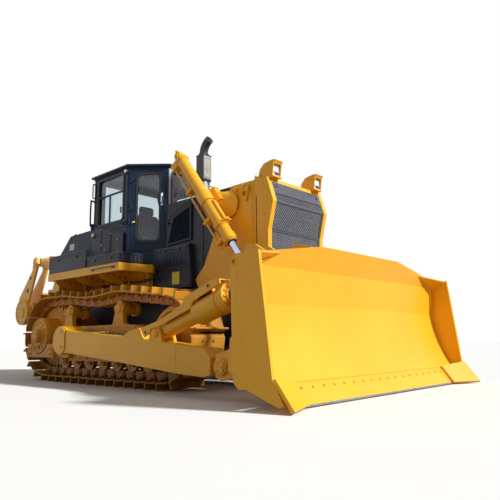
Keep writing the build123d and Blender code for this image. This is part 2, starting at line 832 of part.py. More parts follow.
def lift_barrel():
    plane = along(yoke, lift_eye, lift_y)
    tube = drum(plane, -lift_tail, lift_foot, lift_r)
    # The yoke: a collar round the tube and the pin in the nose's casting
    tube += drum(plane, -95, 95, lift_r + 22)
    tube += round_y(yoke, yoke_pin_r, 640, lift_y - lift_r)
    tube -= drum(plane, -lift_tail + 40, lift_foot - 60, lift_bore)
    tube -= drum(plane, lift_foot - 80, lift_foot + 10, lift_rod_r + run_gap)
    tube += bar(plane, -lift_tail - 110, -lift_tail + 10, 100, 100)
    tube += bar(plane, -lift_tail - 30, -lift_tail + 70, 120, 160, 0, -110)
    # Two steel pipes run down the rear side in clamps
    for side, off in ((-24, 42), (24, 92)):
        tube += drum(plane, -lift_tail + 30, lift_foot - 90, 14, side, -lift_r - off)
    for s in (-300, 300, lift_foot - 120):
        tube += bar(plane, s - 22, s + 22, 100, 120, 0, -lift_r - 52)
    return tube


def lift_rod():
    plane = along(yoke, lift_eye, lift_y)
    reach = span(yoke, lift_eye)
    rod = drum(plane, 300, reach - 60, lift_rod_r)
    rod += drum(plane, 300, 380, lift_bore - run_gap)
    return rod + round_y(lift_eye, 88, lift_y - 40, lift_y + 40)


# Push arms
def push_arm():
    y0 = arm_y - arm_half
    y1 = arm_y + arm_half
    outline = [(trunnion[0], trunnion[1] + 165), (1600, 755), (2770, 680), (3850, 578),
               (4300, 530), (4400, 440), (4400, 262), (4300, 232), (3850, 258),
               (2770, 356), (1600, 452), (trunnion[0], trunnion[1] - 165)]
    arm = slab_y(outline, y0, y1)
    arm += round_y(trunnion, arm_cap_r, y0, y1)
    arm += slab_y([(4380, 425), (ball[0], ball[1] + ball_r), (ball[0], ball[1] - ball_r),
                   (4380, 270)], arm_y - eye_half, arm_y + eye_half)
    arm += round_y(ball, ball_r, arm_y - eye_half, arm_y + eye_half)
    arm -= round_y(trunnion, bush_r + run_gap, y0 - 1, y1 - 20)
    arm -= round_y(ball, ball_bore_r, y0, y1)
    # Ears for the strut's foot
    for side in (-1, 1):
        e0, e1 = sorted((arm_y + side * (eye_half + 12), arm_y + side * (eye_half + 52)))
        ear = [(strut_foot[0] - 150, 560), (strut_foot[0] + 150, 560),
               (strut_foot[0] + 75, strut_foot[1] + 60), (strut_foot[0] - 75, strut_foot[1] + 60)]
        arm += slab_y(ear, e0, e1)
    arm += round_y(strut_foot, foot_pin_r, arm_y - eye_half - 74, arm_y + eye_half + 74)
    return arm + Pos(strut_foot[0], arm_y, strut_foot[1]) * Sphere(foot_bore_r - run_gap)


def arm_wedge():
    """The cover over the tilt cylinder's pipes where they leave the arm."""
    wedge = [(2700, 672), (2822, 690), (2900, 735), (3130, 773), (3215, 630), (3100, 630)]
    return slab_y(wedge, arm_y - arm_half + 60, arm_y + arm_half - 3)


def trunnion_bushes():
    rings = Part()
    for side in (-1, 1):
        y0, y1 = sorted((side * (arm_y - arm_half + 8), side * (arm_y + arm_half - 22)))
        one = round_y(trunnion, bush_r, y0, y1)
        one -= round_y(trunnion, trunnion_r + run_gap, min(-y1, y0) - 10, max(y1, -y0) + 10)
        rings += one
    return rings


def strut_eye(where):
    return round_y(where, strut_eye_r, arm_y - eye_half, arm_y + eye_half)


def strut_point(s, rise):
    """A point beside the strut: s along it from its foot, rise square to it and upward."""
    reach = span(strut_foot, strut_head)
    run = ((strut_head[0] - strut_foot[0]) / reach, (strut_head[1] - strut_foot[1]) / reach)
    return (strut_foot[0] + s * run[0] - rise * run[1], strut_foot[1] + s * run[1] + rise * run[0])


guard_top = [(-233, 143), (-160, 131), (140, 108), (430, 128), (570, 142), (645, 205),
             (1150, 225), (1228, 195)]
guard_low = [(1222, 142), (1015, 130), (763, 112), (690, 54), (210, 42), (75, 46), (40, 56),
             (-30, 64), (-70, 44), (-95, 14), (-186, 10)]
guard_strip_from = 2
guard_cheek = (-arm_y - 137, -arm_y - 119)


def tilt_barrel():
    plane = along(strut_foot, strut_head, -arm_y)
    tube = drum(plane, 60, 150, 60) + drum(plane, 135, 720, tilt_tube_r)
    barrel = drum(plane, 700, 1180, tilt_barrel_r)
    head = drum(plane, 1160, 1225, tilt_barrel_r + 18)
    body = tube + barrel + head + twin(strut_eye(strut_foot))
    body -= drum(plane, 1100, 1300, tilt_rod_r + run_gap)
    body -= round_y(strut_foot, foot_bore_r, -2000, 2000)
    for k in range(10):
        a = 2 * math.pi * k / 10
        body += drum(plane, 1200, 1243, 13, (tilt_barrel_r - 20) * math.cos(a),
                     (tilt_barrel_r - 20) * math.sin(a))
    # Guard over the pipes: a top strip and a deep outer cheek, on two posts
    body += slab_y([strut_point(s, rise) for s, rise in guard_top + guard_low], *guard_cheek)
    top = guard_top[guard_strip_from:]
    strip = top + [(s, rise - 14) for s, rise in reversed(top)]
    body += slab_y([strut_point(s, rise) for s, rise in strip], guard_cheek[0], 34 - arm_y)
    for s, high in ((300, 112), (900, 208)):
        body += bar(plane, s - 40, s + 40, 60, high, 40, high / 2)
    body -= drum(plane, 760, 1150, tilt_barrel_r - 30)
    return body


def tilt_rod():
    plane = along(strut_foot, strut_head, -arm_y)
    reach = span(strut_foot, strut_head)
    rod = drum(plane, 860, reach - 40, tilt_rod_r)
    rod += drum(plane, 860, 930, tilt_barrel_r - 30 - run_gap)
    return rod + twin(strut_eye(strut_head))


def brace_left():
    plane = along(strut_foot, strut_head, arm_y)
    reach = span(strut_foot, strut_head)
    body = drum(plane, 60, reach - 60, 60)
    body += drum(plane, 300, reach - 300, 100)
    body += strut_eye(strut_foot) + strut_eye(strut_head)
    return body - round_y(strut_foot, foot_bore_r, 1000, 2000)


# Blade
def moldboard_outline(back):
    """The front profile, and the same profile set back by the skin."""
    dx = -blade_skin if back else 0
    bow = 45
    run = (edge_top[0] - belly[0], edge_top[1] - belly[1])
    length = math.hypot(*run)
    mid = ((belly[0] + edge_top[0]) / 2 + bow * run[1] / length,
           (belly[1] + edge_top[1]) / 2 - bow * run[0] / length)
    top = (lip_x + dx, 0, lip_z)
    fold = (crease[0] + dx, 0, crease[1])
    waist = (belly[0] + dx, 0, belly[1])
    foot = (edge_top[0] + dx, 0, edge_top[1])
    bowed = (mid[0] + dx, 0, mid[1])
    return top, fold, waist, bowed, foot


def moldboard():
    top, fold, waist, bowed, foot = moldboard_outline(False)
    btop, bfold, bwaist, bbowed, bfoot = moldboard_outline(True)
    edge = Line(top, fold) + Line(fold, waist) + ThreePointArc(waist, bowed, foot)
    edge += Line(foot, bfoot) + ThreePointArc(bfoot, bbowed, bwaist)
    edge += Line(bwaist, bfold) + Line(bfold, btop) + Line(btop, top)
    half = blade_half - end_plate
    skin = extrude(make_face(edge), amount=half, dir=(0, 1, 0), both=True)
    for side in (-1, 1):
        y_in = side * flat_half
        y_out = side * (blade_half + 50)
        fall = (lip_z - corner_z) / (blade_half - 65 - flat_half)
        low = lip_z - fall * (blade_half + 50 - flat_half)
        skin -= slab_x([(y_in, lip_z), (y_out, low), (y_out, lip_z + 100), (y_in, lip_z + 100)],
                       4900, 5600)
    return skin


end_outline = [(5058, 1372), (5140, 1420), (5419, 1430), (5558, 288), (5684, 66), (5629, 46),
               (5253, 181), (5155, 176), (5092, 243)]
lift_hole = (5112, 1342)
rib_rows = (200, 1250, blade_half - 165)


def blade():
    return moldboard() - end_bits()


def blade_ends():
    """Plates that close the moldboard's two ends, and a gusset across each top corner."""
    body = Part()
    for side in (-1, 1):
        y0, y1 = sorted((side * (blade_half - end_plate), side * blade_half))
        cheek = slab_y(end_outline, y0, y1)
        body += cheek - round_y(lift_hole, lift_hole_r, y0 - 5, y1 + 5)
        y_in = side * (blade_half - end_plate + 4)
        a = Vector(5222, side * (blade_half - 565), 1480)
        body += gusset(a, Vector(5400, y_in, 1412), Vector(5170, y_in, 1300), 24)
    return body - moldboard() - end_bits()


def front_room():
    """Everything ahead of the moldboard's back, which its beams and ears stop at."""
    top, fold, waist, bowed, foot = moldboard_outline(True)
    ahead = 700
    edge = Line(top, fold) + Line(fold, waist) + ThreePointArc(waist, bowed, foot)
    low = (foot[0], 0, 0)
    low_front = (foot[0] + ahead, 0, 0)
    high_front = (foot[0] + ahead, 0, top[2] + 200)
    high = (top[0], 0, top[2] + 200)
    edge += Polyline(foot, low, low_front, high_front, high, top)
    return extrude(make_face(edge), amount=blade_half + 50, dir=(0, 1, 0), both=True)


def blade_beams():
    """A box beam along the foot, a smaller one behind the lip, and ribs between them."""
    half = blade_half - end_plate
    beam = [(5215, 300), (5330, 250), (5400, 232), (5400, 590), (5200, 700), (5020, 640),
            (4990, 330)]
    body = slab_y(beam, -half, half)
    top_beam = [(5200, 1180), (5200, 1420), (5080, 1400), (5040, 1330), (5040, 1220)]
    body += slab_y(top_beam, -half + 160, half - 160)
    for y in rib_rows:
        for side in (-1, 1):
            rib = [(5200, 1250), (5060, 1250), (5020, 600), (5200, 600)]
            y0, y1 = sorted((side * (y - 18), side * (y + 18)))
            body += slab_y(rib, y0, y1)
    return body - front_room()


def blade_ears():
    """Ears for the push arms, for the heads of the two struts and for the lift rods."""
    body = Part()
    for side in (-1, 1):
        for y_mid, rows in ((arm_y, arm_ear_rows), (lift_y, lift_ear_rows)):
            for outline, gap, thick in rows:
                for hand in (-1, 1):
                    y0, y1 = sorted((side * y_mid + hand * gap, side * y_mid + hand * (gap + thick)))
                    body += slab_y(outline, y0, y1)
        for hand in (-1, 1):
            y0, y1 = sorted((side * arm_y + hand * 130, side * arm_y + hand * 168))
            body += round_y(ball, 88, y0, y1)
        # A pin from ear to ear with a ball in the arm's bore; the right one has room to drift
        body += round_y(ball, ball_pin_r, side * arm_y - 140, side * arm_y + 140)
        fit = run_gap if side == 1 else ball_drift
        body += Pos(ball[0], side * arm_y, ball[1]) * Sphere(ball_bore_r - fit)
    return body - front_room() - blade_beams()


arm_ear_gap = 94
strut_ear_gap = 92
lift_ear_gap = 130
ear_thick = 40
arm_ear = [(4475, 470), (4475, 240), (4560, 205), (5060, 300), (5280, 420), (5280, 640),
           (5000, 640), (4650, 520)]
strut_ear = [(4855, 1080), (4960, 1060), (5060, 900), (5200, 900), (5200, 1340), (5180, 1480),
             (5040, 1570), (4930, 1590), (4870, 1510), (4845, 1300)]
lift_ear = [(4600, 690), (4640, 620), (5030, 470), (5200, 560), (5200, 1330), (5260, 1590),
            (5100, 1640), (5010, 1662), (4945, 1560), (4840, 1240), (4680, 930), (4600, 800)]
arm_ear_rows = ((arm_ear, arm_ear_gap, ear_thick), (strut_ear, strut_ear_gap, 34))
lift_ear_rows = ((lift_ear, lift_ear_gap, 36),)


def gusset(a, b, c, thick):
    """A triangular plate."""
    face = make_face(Polyline(a, b, c, close=True))
    normal = (b - a).cross(c - a).normalized()
    return extrude(face, amount=thick / 2, dir=normal, both=True)


def cutting_edge():
    """Three bolted plates that carry on the moldboard's foot down to the ground."""
    seat = edge_top[1] - run_gap
    wide = 41
    outline = [(edge_top[0], seat), edge_tip, (edge_tip[0] - 8, ground_gap),
               (edge_tip[0] - 36, ground_gap), (edge_top[0] - wide, seat)]
    edges = Part()
    for y0, y1 in ((-edge_half, -seam_y - 1), (-seam_y + 1, seam_y - 1), (seam_y + 1, edge_half)):
        edges += slab_y(outline, y0, y1)
    return edges


def end_bits():
    """Each bit is a plate from the cutting edge's end out and forward to the corner's tip."""
    plate = 34
    bits = Part()
    for side in (-1, 1):
        inner = side * (edge_half + 2)
        outer = side * corner_tip[1]
        a = Vector(edge_tip[0], inner, edge_tip[1])
        b = Vector(corner_tip[0], outer, corner_tip[2])
        c = Vector(5558, outer, 271)
        d = Vector(edge_top[0] + 2, inner, edge_top[1] - run_gap)
        back = (b - a).cross(d - a).normalized() * -side
        bits += wedge_plate(a, b, c, d, back * -plate)
    return bits


def wedge_plate(a, b, c, d, thick):
    """A four-cornered plate, as two triangles that share the diagonal."""
    plate = Part()
    for p, q, r in ((a, b, c), (a, c, d)):
        face = make_face(Polyline(p, q, r, close=True))
        plate += extrude(face, amount=thick.length, dir=thick.normalized())
    return plate


# Ripper: a frame on the hull, two lower arms, a beam with its masts, and four cylinders
pitch_rear = (pitch_front[0] + beam_pin[0] - arm_pin[0], pitch_front[1] + beam_pin[1] - arm_pin[1])


def ripper_frame():
    plate = [(mount_x, 720), (-1130, 900), (-1235, 960), (-1262, 1060), (-1235, 1160),
             (-1120, 1220), (-960, 1400), (-820, 1620), (-740, 1820), (-790, 1960), (-800, 2060),
             (-760, 2105), (-680, 2105), (-622, 2060), (-622, 1500), (mount_x, 1440)]
    body = Part()
    for side in (-1, 1):
        for y0, y1 in ((ripper_y - clevis_out, ripper_y - clevis_in),
                       (ripper_y + clevis_in, ripper_y + clevis_out)):
            low, high = sorted((side * y0, side * y1))
            body += slab_y(plate, low, high)
        low, high = sorted((side * (ripper_y - clevis_out - 10), side * (ripper_y + clevis_out)))
        body += round_y(arm_pin, ripper_pin_r, low, high)
        body += round_y(pitch_front, pitch_pin_r, low, high)
        for y0, y1 in ((ram_y - 95, ram_y - 60), (ram_y + 60, ram_y + 95)):
            low, high = sorted((side * y0, side * y1))
            body += slab_y([(-620, 1660), (-840, 1720), (-880, 1800), (-840, 1860), (-620, 1900)],
                           low, high)
        low, high = sorted((side * (ram_y - 100), side * (ram_y + 100)))
        body += round_y(ram_front, ram_pin_r, low, high)
    beam_half = ripper_y + clevis_out
    body += block(mount_front, mount_x, -beam_half, beam_half, 760, 2060)
    return body


def ripper_arms():
    body = Part()
    for side in (-1, 1):
        low, high = sorted((side * (ripper_y - ripper_half), side * (ripper_y + ripper_half)))
        link = [(arm_pin[0], arm_pin[1] + 110), (arm_pin[0], arm_pin[1] - 110),
                (beam_pin[0], beam_pin[1] - 110), (beam_pin[0], beam_pin[1] + 110)]
        one = slab_y(link, low, high)
        one += round_y(arm_pin, ripper_eye_r, low, high)
        one += round_y(beam_pin, ripper_eye_r, low, high)
        body += one
    cross = (-1550, 1100)
    body += round_y(cross, 72, -ripper_y, ripper_y)
    for side in (-1, 1):
        for y0, y1 in ((ram_y - 95, ram_y - 60), (ram_y + 60, ram_y + 95)):
            low, high = sorted((side * y0, side * y1))
            body += slab_y([(cross[0] - 60, cross[1]), (cross[0] + 60, cross[1]),
                            (ram_rear[0] + 60, ram_rear[1] + 55), (ram_rear[0] - 55, ram_rear[1] + 55)],
                           low, high)
        for y0, y1 in ((ram_y - 110, ram_y - 90), (ram_y + 90, ram_y + 110)):
            low, high = sorted((side * y0, side * y1))
            body += round_y(ram_rear, 40, low, high)
    body -= round_y(arm_pin, ripper_pin_r + run_gap, -1000, 1000)
    return body - round_y(beam_pin, ripper_pin_r + run_gap, -1000, 1000)


def ripper_pins():
    low = ripper_y - mast_out + 4
    high = ripper_y + mast_out + 26
    return round_y(beam_pin, ripper_pin_r, low, high) + round_y(beam_pin, ripper_pin_r, -high, -low)


def ripper_bushes():
    half = ripper_half - 4
    ring = round_y(pitch_front, pitch_bush_r, ripper_y - half, ripper_y + half)
    return ring - round_y(pitch_front, pitch_pin_r + run_gap, ripper_y - 60, ripper_y + 60)


def ripper_masts():
    """Two plates on each side, from the lower arms' pins up to the pitch cylinders' eyes."""
    body = Part()
    outline = [(beam_pin[0] - 210, beam_pin[1] - 60), (beam_pin[0] + 150, beam_pin[1] - 180),
               (beam_pin[0] + 150, beam_pin[1] + 120), (pitch_rear[0] + 90, pitch_rear[1] - 40),
               (pitch_rear[0] + 60, pitch_rear[1] + 80), (pitch_rear[0] - 40, pitch_rear[1] + 90),
               (pitch_rear[0] - 105, pitch_rear[1] - 10), (pitch_rear[0] - 115, pitch_rear[1] - 160),
               (-2136, 1488), (-2158, 1335)]
    for y0, y1, rim in ((ripper_y - mast_out, ripper_y - mast_in, 0),
                        (ripper_y + mast_in, ripper_y + mast_out, 36)):
        plate = slab_y(outline, y0, y1) + round_y(beam_pin, beam_disc_r, y0, y1 + rim)
        body += plate - round_y(beam_pin, ripper_pin_r + run_gap, y0 - 1, ripper_y + mast_out + 27)
    return body


def ripper_beam():
    tube_half = ripper_y - mast_out
    body = round_y(beam_pin, beam_tube_r, -tube_half, tube_half)
    # Cross plate that ties the masts above the tube
    tie = [(beam_pin[0] - 60, beam_pin[1] + 150), (beam_pin[0] + 60, beam_pin[1] + 160),
           (beam_pin[0] + 40, beam_pin[1] + 400), (beam_pin[0] - 20, beam_pin[1] + 400)]
    body += slab_y(tie, -tube_half, tube_half)
    # Pocket of the shank
    body += block(pocket_rear, beam_pin[0] - 100, -190, 190, 960, 1500)
    side = shank_half + run_gap
    return body - block(shank_x[0] - run_gap, shank_x[1] + run_gap, -side, side, 900, 1600)


shank_x = (-2440, -2160)


def ripper_shank():
    outline = [(shank_x[0], 1720), (shank_x[1], 1720), (shank_x[1], 930), (-2050, 560),
               (-1890, 380), (-1790, 300), (-1850, 285), (-2040, 300), (-2250, 450),
               (shank_x[0], 880)]
    body = slab_y(outline, -shank_half, shank_half)
    tip = slab_y([(-1800, 345), (-1650, 260), (-1740, 245), (-2000, 272), (-1990, 340)], -62, 62)
    return body + tip


def ram(front, rear, y, foot, piston, r, rod_r, eye_r, half, pin_r, neck):
    """A cylinder: its barrel with an eye on the front pin, and its rod with the eye at the rear."""
    plane = along(front, rear, y)
    reach = span(front, rear)
    barrel = round_y(front, eye_r, y - half, y + half)
    barrel += drum(plane, 40, neck + 10, half - 4)
    barrel += drum(plane, neck, foot, r)
    barrel -= drum(plane, neck + 30, foot - 40, r - 18)
    barrel -= drum(plane, foot - 60, foot + 20, rod_r + run_gap)
    barrel -= round_y(front, pin_r + run_gap, y - half - 1, y + half + 1)
    rod = drum(plane, piston, reach - 30, rod_r)
    rod += drum(plane, piston, piston + 50, r - 18 - run_gap)
    return barrel, rod + round_y(rear, eye_r, y - half, y + half)


parts["hull"] = hull()
parts["engine"] = engine()
parts["radiator"] = radiator()
parts["nose"] = nose()
parts["grille"] = grille()
parts["hood"] = hood()
parts["lamp_guards"] = lamp_guards()
parts["headlamps"] = headlamps()
parts["exhaust"] = exhaust()
parts["deck"] = deck()
parts["fuel_tank"] = fuel_tank()
parts["cab_shell"] = cab_shell()
parts["cab_glass"] = cab_glass()
parts["cab_roof"] = cab_roof()
parts["seat"] = seat()
parts["controls"] = controls()
parts["grab_rails"] = grab_rails()
keep_two("track", track())
keep_two("track_frame", track_frame())
keep_pair("sprockets", sprocket())
keep_pair("final_drives", final_drive())
keep_pair("idlers", idler())
keep_pair("track_rollers", track_rollers())
keep_pair("carrier_rollers", carrier_rollers())
keep_pair("fenders", fender())
keep_pair("side_boxes", side_boxes())
keep_pair("side_covers", side_cover())
keep_pair("lift_brackets", lift_bracket())
keep_two("lift_barrel", lift_barrel())
keep_two("lift_rod", lift_rod())
parts["push_arm_left"] = push_arm()
parts["push_arm_right"] = twin(push_arm() + arm_wedge())
parts["trunnion_bushes"] = trunnion_bushes()
parts["tilt_barrel"] = tilt_barrel()
parts["tilt_rod"] = tilt_rod()
parts["brace_left"] = brace_left()
parts["blade"] = blade()
parts["blade_ends"] = blade_ends()
parts["blade_beams"] = blade_beams()
parts["blade_ears"] = blade_ears()
parts["cutting_edges"] = cutting_edge() + end_bits()
for name, wall in (("door_left", 3), ("door_right", 1)):
    parts[name] = door(wall)
    parts[name.replace("door", "door_glass")] = door_glass(wall)
parts["ripper_frame"] = ripper_frame()
parts["ripper_arms"] = ripper_arms()
parts["ripper_pins"] = ripper_pins()
keep_pair("ripper_bushes", ripper_bushes())
parts["ripper_beam"] = ripper_beam()
keep_pair("ripper_masts", ripper_masts())
parts["ripper_shank"] = ripper_shank()
for name, front, rear, y, foot, piston, r, rod_r, eye_r, half, pin_r, neck in (
        ("ripper_pitch", pitch_front, pitch_rear, ripper_y, 609, 285, 110, 50, 85, 48, pitch_bush_r, 170),
        ("ripper_ram", ram_front, ram_rear, ram_y, 597, 207, 88, 42, 78, 48, ram_pin_r, 130)):
    barrel, rod = ram(front, rear, y, foot, piston, r, rod_r, eye_r, half, pin_r, neck)
    keep_pair(name + "_barrels", barrel)
    keep_pair(name + "_rods", rod)

os.makedirs("parts", exist_ok=True)
for name, shape in parts.items():
    export_step(Pos(-origin_x, 0, 0) * shape, "parts/" + name + ".step")
print(len(parts), "nodes, origin at", origin_x, "from the sprockets' axle")
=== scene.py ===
# Crawler bulldozer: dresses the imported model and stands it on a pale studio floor.
import bpy
import bmesh
import math
from mathutils import Matrix, Vector


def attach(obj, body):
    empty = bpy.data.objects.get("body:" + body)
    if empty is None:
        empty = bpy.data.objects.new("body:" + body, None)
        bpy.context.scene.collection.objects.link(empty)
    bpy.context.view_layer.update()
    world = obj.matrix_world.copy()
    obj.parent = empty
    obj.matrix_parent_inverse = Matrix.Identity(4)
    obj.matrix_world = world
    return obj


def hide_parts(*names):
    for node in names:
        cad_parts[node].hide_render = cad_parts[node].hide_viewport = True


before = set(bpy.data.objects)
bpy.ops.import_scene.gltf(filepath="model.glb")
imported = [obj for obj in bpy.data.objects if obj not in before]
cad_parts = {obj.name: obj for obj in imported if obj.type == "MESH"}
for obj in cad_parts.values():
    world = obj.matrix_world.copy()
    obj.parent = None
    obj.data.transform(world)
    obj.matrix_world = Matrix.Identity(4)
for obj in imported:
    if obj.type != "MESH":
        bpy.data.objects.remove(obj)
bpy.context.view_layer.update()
print("frame loaded:", len(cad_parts), "nodes")

# Places below are in metres, with x measured forward from the sprockets' axle.
axleShift = -1.603  # that axle's own place in the frame
trackY = 1.07
bothSides = (("left", 1), ("right", -1))


def hexColour(code):
    channels = [int(code[i:i + 2], 16) / 255 for i in (1, 3, 5)]
    linear = [c / 12.92 if c <= 0.04045 else ((c + 0.055) / 1.055) ** 2.4 for c in channels]
    return (*linear, 1.0)


# Adds a node, sets it up and links it: a socket takes a number, a hex colour, a node or an output
def addNode(tree, kind, sockets=None, **settings):
    node = tree.nodes.new("ShaderNode" + kind)
    for key, value in settings.items():
        setattr(node, key, value)
    for key, value in (sockets or {}).items():
        if isinstance(value, bpy.types.Node):
            value = value.outputs[0]
        if isinstance(value, bpy.types.NodeSocket):
            tree.links.new(value, node.inputs[key])
        else:
            node.inputs[key].default_value = hexColour(value) if isinstance(value, str) else value
    return node


def startMaterial(name):
    material = bpy.data.materials.new(name)
    material.use_nodes = True
    tree = material.node_tree
    tree.nodes.clear()
    return material, tree, addNode(tree, "TexCoord").outputs["Object"]


# Sprayed two-pack enamel on steel plate: an even coat with a soft clear gloss and faint cloudiness
# where coats overlap; a painted highlight lightens the colour along each edge
def sprayedEnamel(name, paint):
    material, tree, point = startMaterial(name)
    clouds = addNode(tree, "TexNoise", {"Vector": point, "Scale": 1.4, "Detail": 3.0})
    grit = addNode(tree, "TexNoise", {"Vector": point, "Scale": 26.0, "Detail": 4.0})
    cloudy = addNode(tree, "MapRange", {"Value": clouds, "From Min": 0.35, "From Max": 0.65})
    colour = addNode(tree, "Mix", {0: cloudy, 6: paint["shade"], 7: paint["colour"]},
                     data_type="RGBA")
    rounded = addNode(tree, "Bevel", {"Radius": paint["edge"]}, samples=4)
    flat = addNode(tree, "NewGeometry").outputs["Normal"]
    turn = addNode(tree, "VectorMath", {0: rounded, 1: flat}, operation="DOT_PRODUCT")
    # painted highlight: the colour turns lighter where the rounded normal parts from the flat one
    edge = addNode(tree, "MapRange", {"Value": turn.outputs["Value"], "From Min": 0.995,
                                      "From Max": 0.9})
    colour = addNode(tree, "Mix", {0: edge, 6: colour.outputs[2], 7: paint["edgeHighlightColour"]},
                     data_type="RGBA")
    if paint.get("dustAndShade"):
        # dust, and painted shade of the low parts: darker brown low on the running gear, thickest
        # by the ground
        height = addNode(tree, "SeparateXYZ", {0: point}).outputs["Z"]
        low = addNode(tree, "MapRange", {"Value": height, "From Min": paint["dustAndShadeTop"],
                                         "From Max": 0.1})
        dustAndShadeMask = addNode(tree, "Math", {0: low, 1: grit}, operation="MULTIPLY")
        colour = addNode(tree, "Mix", {0: dustAndShadeMask, 6: colour.outputs[2], 7: paint["dustAndShade"]},
                         data_type="RGBA")
    rough = addNode(tree, "MapRange", {"Value": grit, "From Min": 0.3, "From Max": 0.7,
                                       "To Min": paint["rough"] - 0.05,
                                       "To Max": paint["rough"] + 0.06})
    # orange peel of a sprayed coat is 2 mm across; it is drawn at 9 mm so that it shows
    peel = addNode(tree, "TexNoise", {"Vector": point, "Scale": 110.0, "Detail": 1.0})
    bump = addNode(tree, "Bump", {"Height": peel, "Strength": 0.03, "Distance": 0.001,
                                  "Normal": rounded})
    shader = addNode(tree, "BsdfPrincipled", {"Base Color": colour.outputs[2], "Roughness": rough,
                                              "Normal": bump, "Coat Weight": paint["coat"],
                                              "Coat Roughness": 0.16, "IOR": 1.5,
                                              "Specular IOR Level": paint.get("sheen", 0.4)})
    addNode(tree, "OutputMaterial", {"Surface": shader})
    return material


yellowEnamel = sprayedEnamel("yellowEnamelOnSteel", {
    "colour": "#F4B519", "shade": "#F0AE15", "edgeHighlightColour": "#FAC43C", "edge": 0.006,
    "rough": 0.42, "coat": 0.12})
gearEnamel = sprayedEnamel("yellowEnamelOnRunningGear", {
    "colour": "#E09E1C", "shade": "#D29018", "edgeHighlightColour": "#EBB03C", "edge": 0.005,
    "rough": 0.5, "coat": 0.05, "dustAndShade": "#8A5E26", "dustAndShadeTop": 0.9})
navyEnamel = sprayedEnamel("navyEnamelOnSheet", {
    "colour": "#20324A", "shade": "#1A2A3F", "edgeHighlightColour": "#354A66", "edge": 0.006,
    "rough": 0.3, "coat": 0.0, "sheen": 0.16})
charcoalEnamel = sprayedEnamel("charcoalEnamelOnSheet", {
    "colour": "#2E303B", "shade": "#272934", "edgeHighlightColour": "#4A4C58", "edge": 0.006,
    "rough": 0.38, "coat": 0.0, "sheen": 0.24})
greyEnamel = sprayedEnamel("greyEnamelOnGrille", {
    "colour": "#4A4C57", "shade": "#444650", "edgeHighlightColour": "#787B88", "edge": 0.004,
    "rough": 0.36, "coat": 0.05})
# pale grey paint standing in for reflections: a painted reflection on the cab's front wall and the
# lamps' reflectors
palePaintedReflection = sprayedEnamel("paleEnamelAsPaintedReflection", {
    "colour": "#B9BBBE", "shade": "#B2B4B8", "edgeHighlightColour": "#D6D8DA", "edge": 0.005,
    "rough": 0.3, "coat": 0.5})
meshEnamel = sprayedEnamel("greyEnamelOnMesh", {
    "colour": "#8A8D96", "shade": "#7C7F88", "edgeHighlightColour": "#A5A8B2", "edge": 0.002,
    "rough": 0.38, "coat": 0.1})
shoeSteel = sprayedEnamel("brownEnamelOnShoes", {
    "colour": "#CE9430", "shade": "#B88028", "edgeHighlightColour": "#DCAA50", "edge": 0.006,
    "rough": 0.46, "coat": 0.04, "sheen": 0.2, "dustAndShade": "#7A5020", "dustAndShadeTop": 1.2})
linkEnamel = sprayedEnamel("brownEnamelOnLinks", {
    "colour": "#C07E20", "shade": "#A06818", "edgeHighlightColour": "#D8A044", "edge": 0.005,
    "rough": 0.38, "coat": 0.05, "sheen": 0.2, "dustAndShade": "#724A18", "dustAndShadeTop": 1.2})


# Bare metals: metallic, with a fine streaked or cast grain
def bareMetal(name, metal):
    material, tree, point = startMaterial(name)
    stretched = addNode(tree, "Mapping", {"Vector": point, "Scale": metal["stretch"]})
    grain = addNode(tree, "TexNoise", {"Vector": stretched, "Scale": metal["grain"], "Detail": 4.0})
    blotch = addNode(tree, "TexNoise", {"Vector": point, "Scale": 7.0, "Detail": 5.0})
    stain = addNode(tree, "MapRange", {"Value": blotch, "From Min": 0.45, "From Max": 0.7})
    colour = addNode(tree, "Mix", {0: stain, 6: metal["colour"], 7: metal["stain"]},
                     data_type="RGBA")
    rough = addNode(tree, "MapRange", {"Value": blotch, "From Min": 0.3, "From Max": 0.7,
                                       "To Min": metal["rough"],
                                       "To Max": metal["rough"] + metal["spread"]})
    bump = addNode(tree, "Bump", {"Height": grain, "Strength": metal["bump"], "Distance": 0.003})
    shader = addNode(tree, "BsdfPrincipled", {"Base Color": colour.outputs[2], "Metallic": 1.0,
                                              "Roughness": rough, "Normal": bump})
    addNode(tree, "OutputMaterial", {"Surface": shader})
    return material


# the cool blue of this chrome's colour is a painted reflection of a blue sky
hardChrome = bareMetal("hardChromeOnRods", {
    "colour": "#B9C6DA", "stain": "#A9B8D0", "rough": 0.07, "spread": 0.05, "grain": 300.0,
    "stretch": (1.0, 1.0, 1.0), "bump": 0.01})  # ground and polished: a long clean highlight
wornSteel = bareMetal("wornSteelOnLinks", {
    "colour": "#6E665C", "stain": "#3E352C", "rough": 0.38, "spread": 0.2, "grain": 90.0,
    "stretch": (1.0, 1.0, 1.0), "bump": 0.25})  # dark with brighter rubbed spots
bareEdge = bareMetal("quenchedSteelEdge", {
    "colour": "#8F8B84", "stain": "#6A6358", "rough": 0.36, "spread": 0.2, "grain": 120.0,
    "stretch": (0.2, 1.0, 1.0), "bump": 0.12})
aluminisedSteel = bareMetal("aluminisedSteelMuffler", {
    "colour": "#A19C94", "stain": "#857C72", "rough": 0.34, "spread": 0.2, "grain": 60.0,
    "stretch": (1.0, 1.0, 0.15), "bump": 0.08})  # dull silver sheet with a brushed look
brassKnob = bareMetal("brassLock", {
    "colour": "#B98A4A", "stain": "#8F6532", "rough": 0.22, "spread": 0.15, "grain": 120.0,
    "stretch": (1.0, 1.0, 1.0), "bump": 0.05})
castIron = bareMetal("castIronEngine", {
    "colour": "#4E4B48", "stain": "#35322F", "rough": 0.55, "spread": 0.2, "grain": 140.0,
    "stretch": (1.0, 1.0, 1.0), "bump": 0.3})


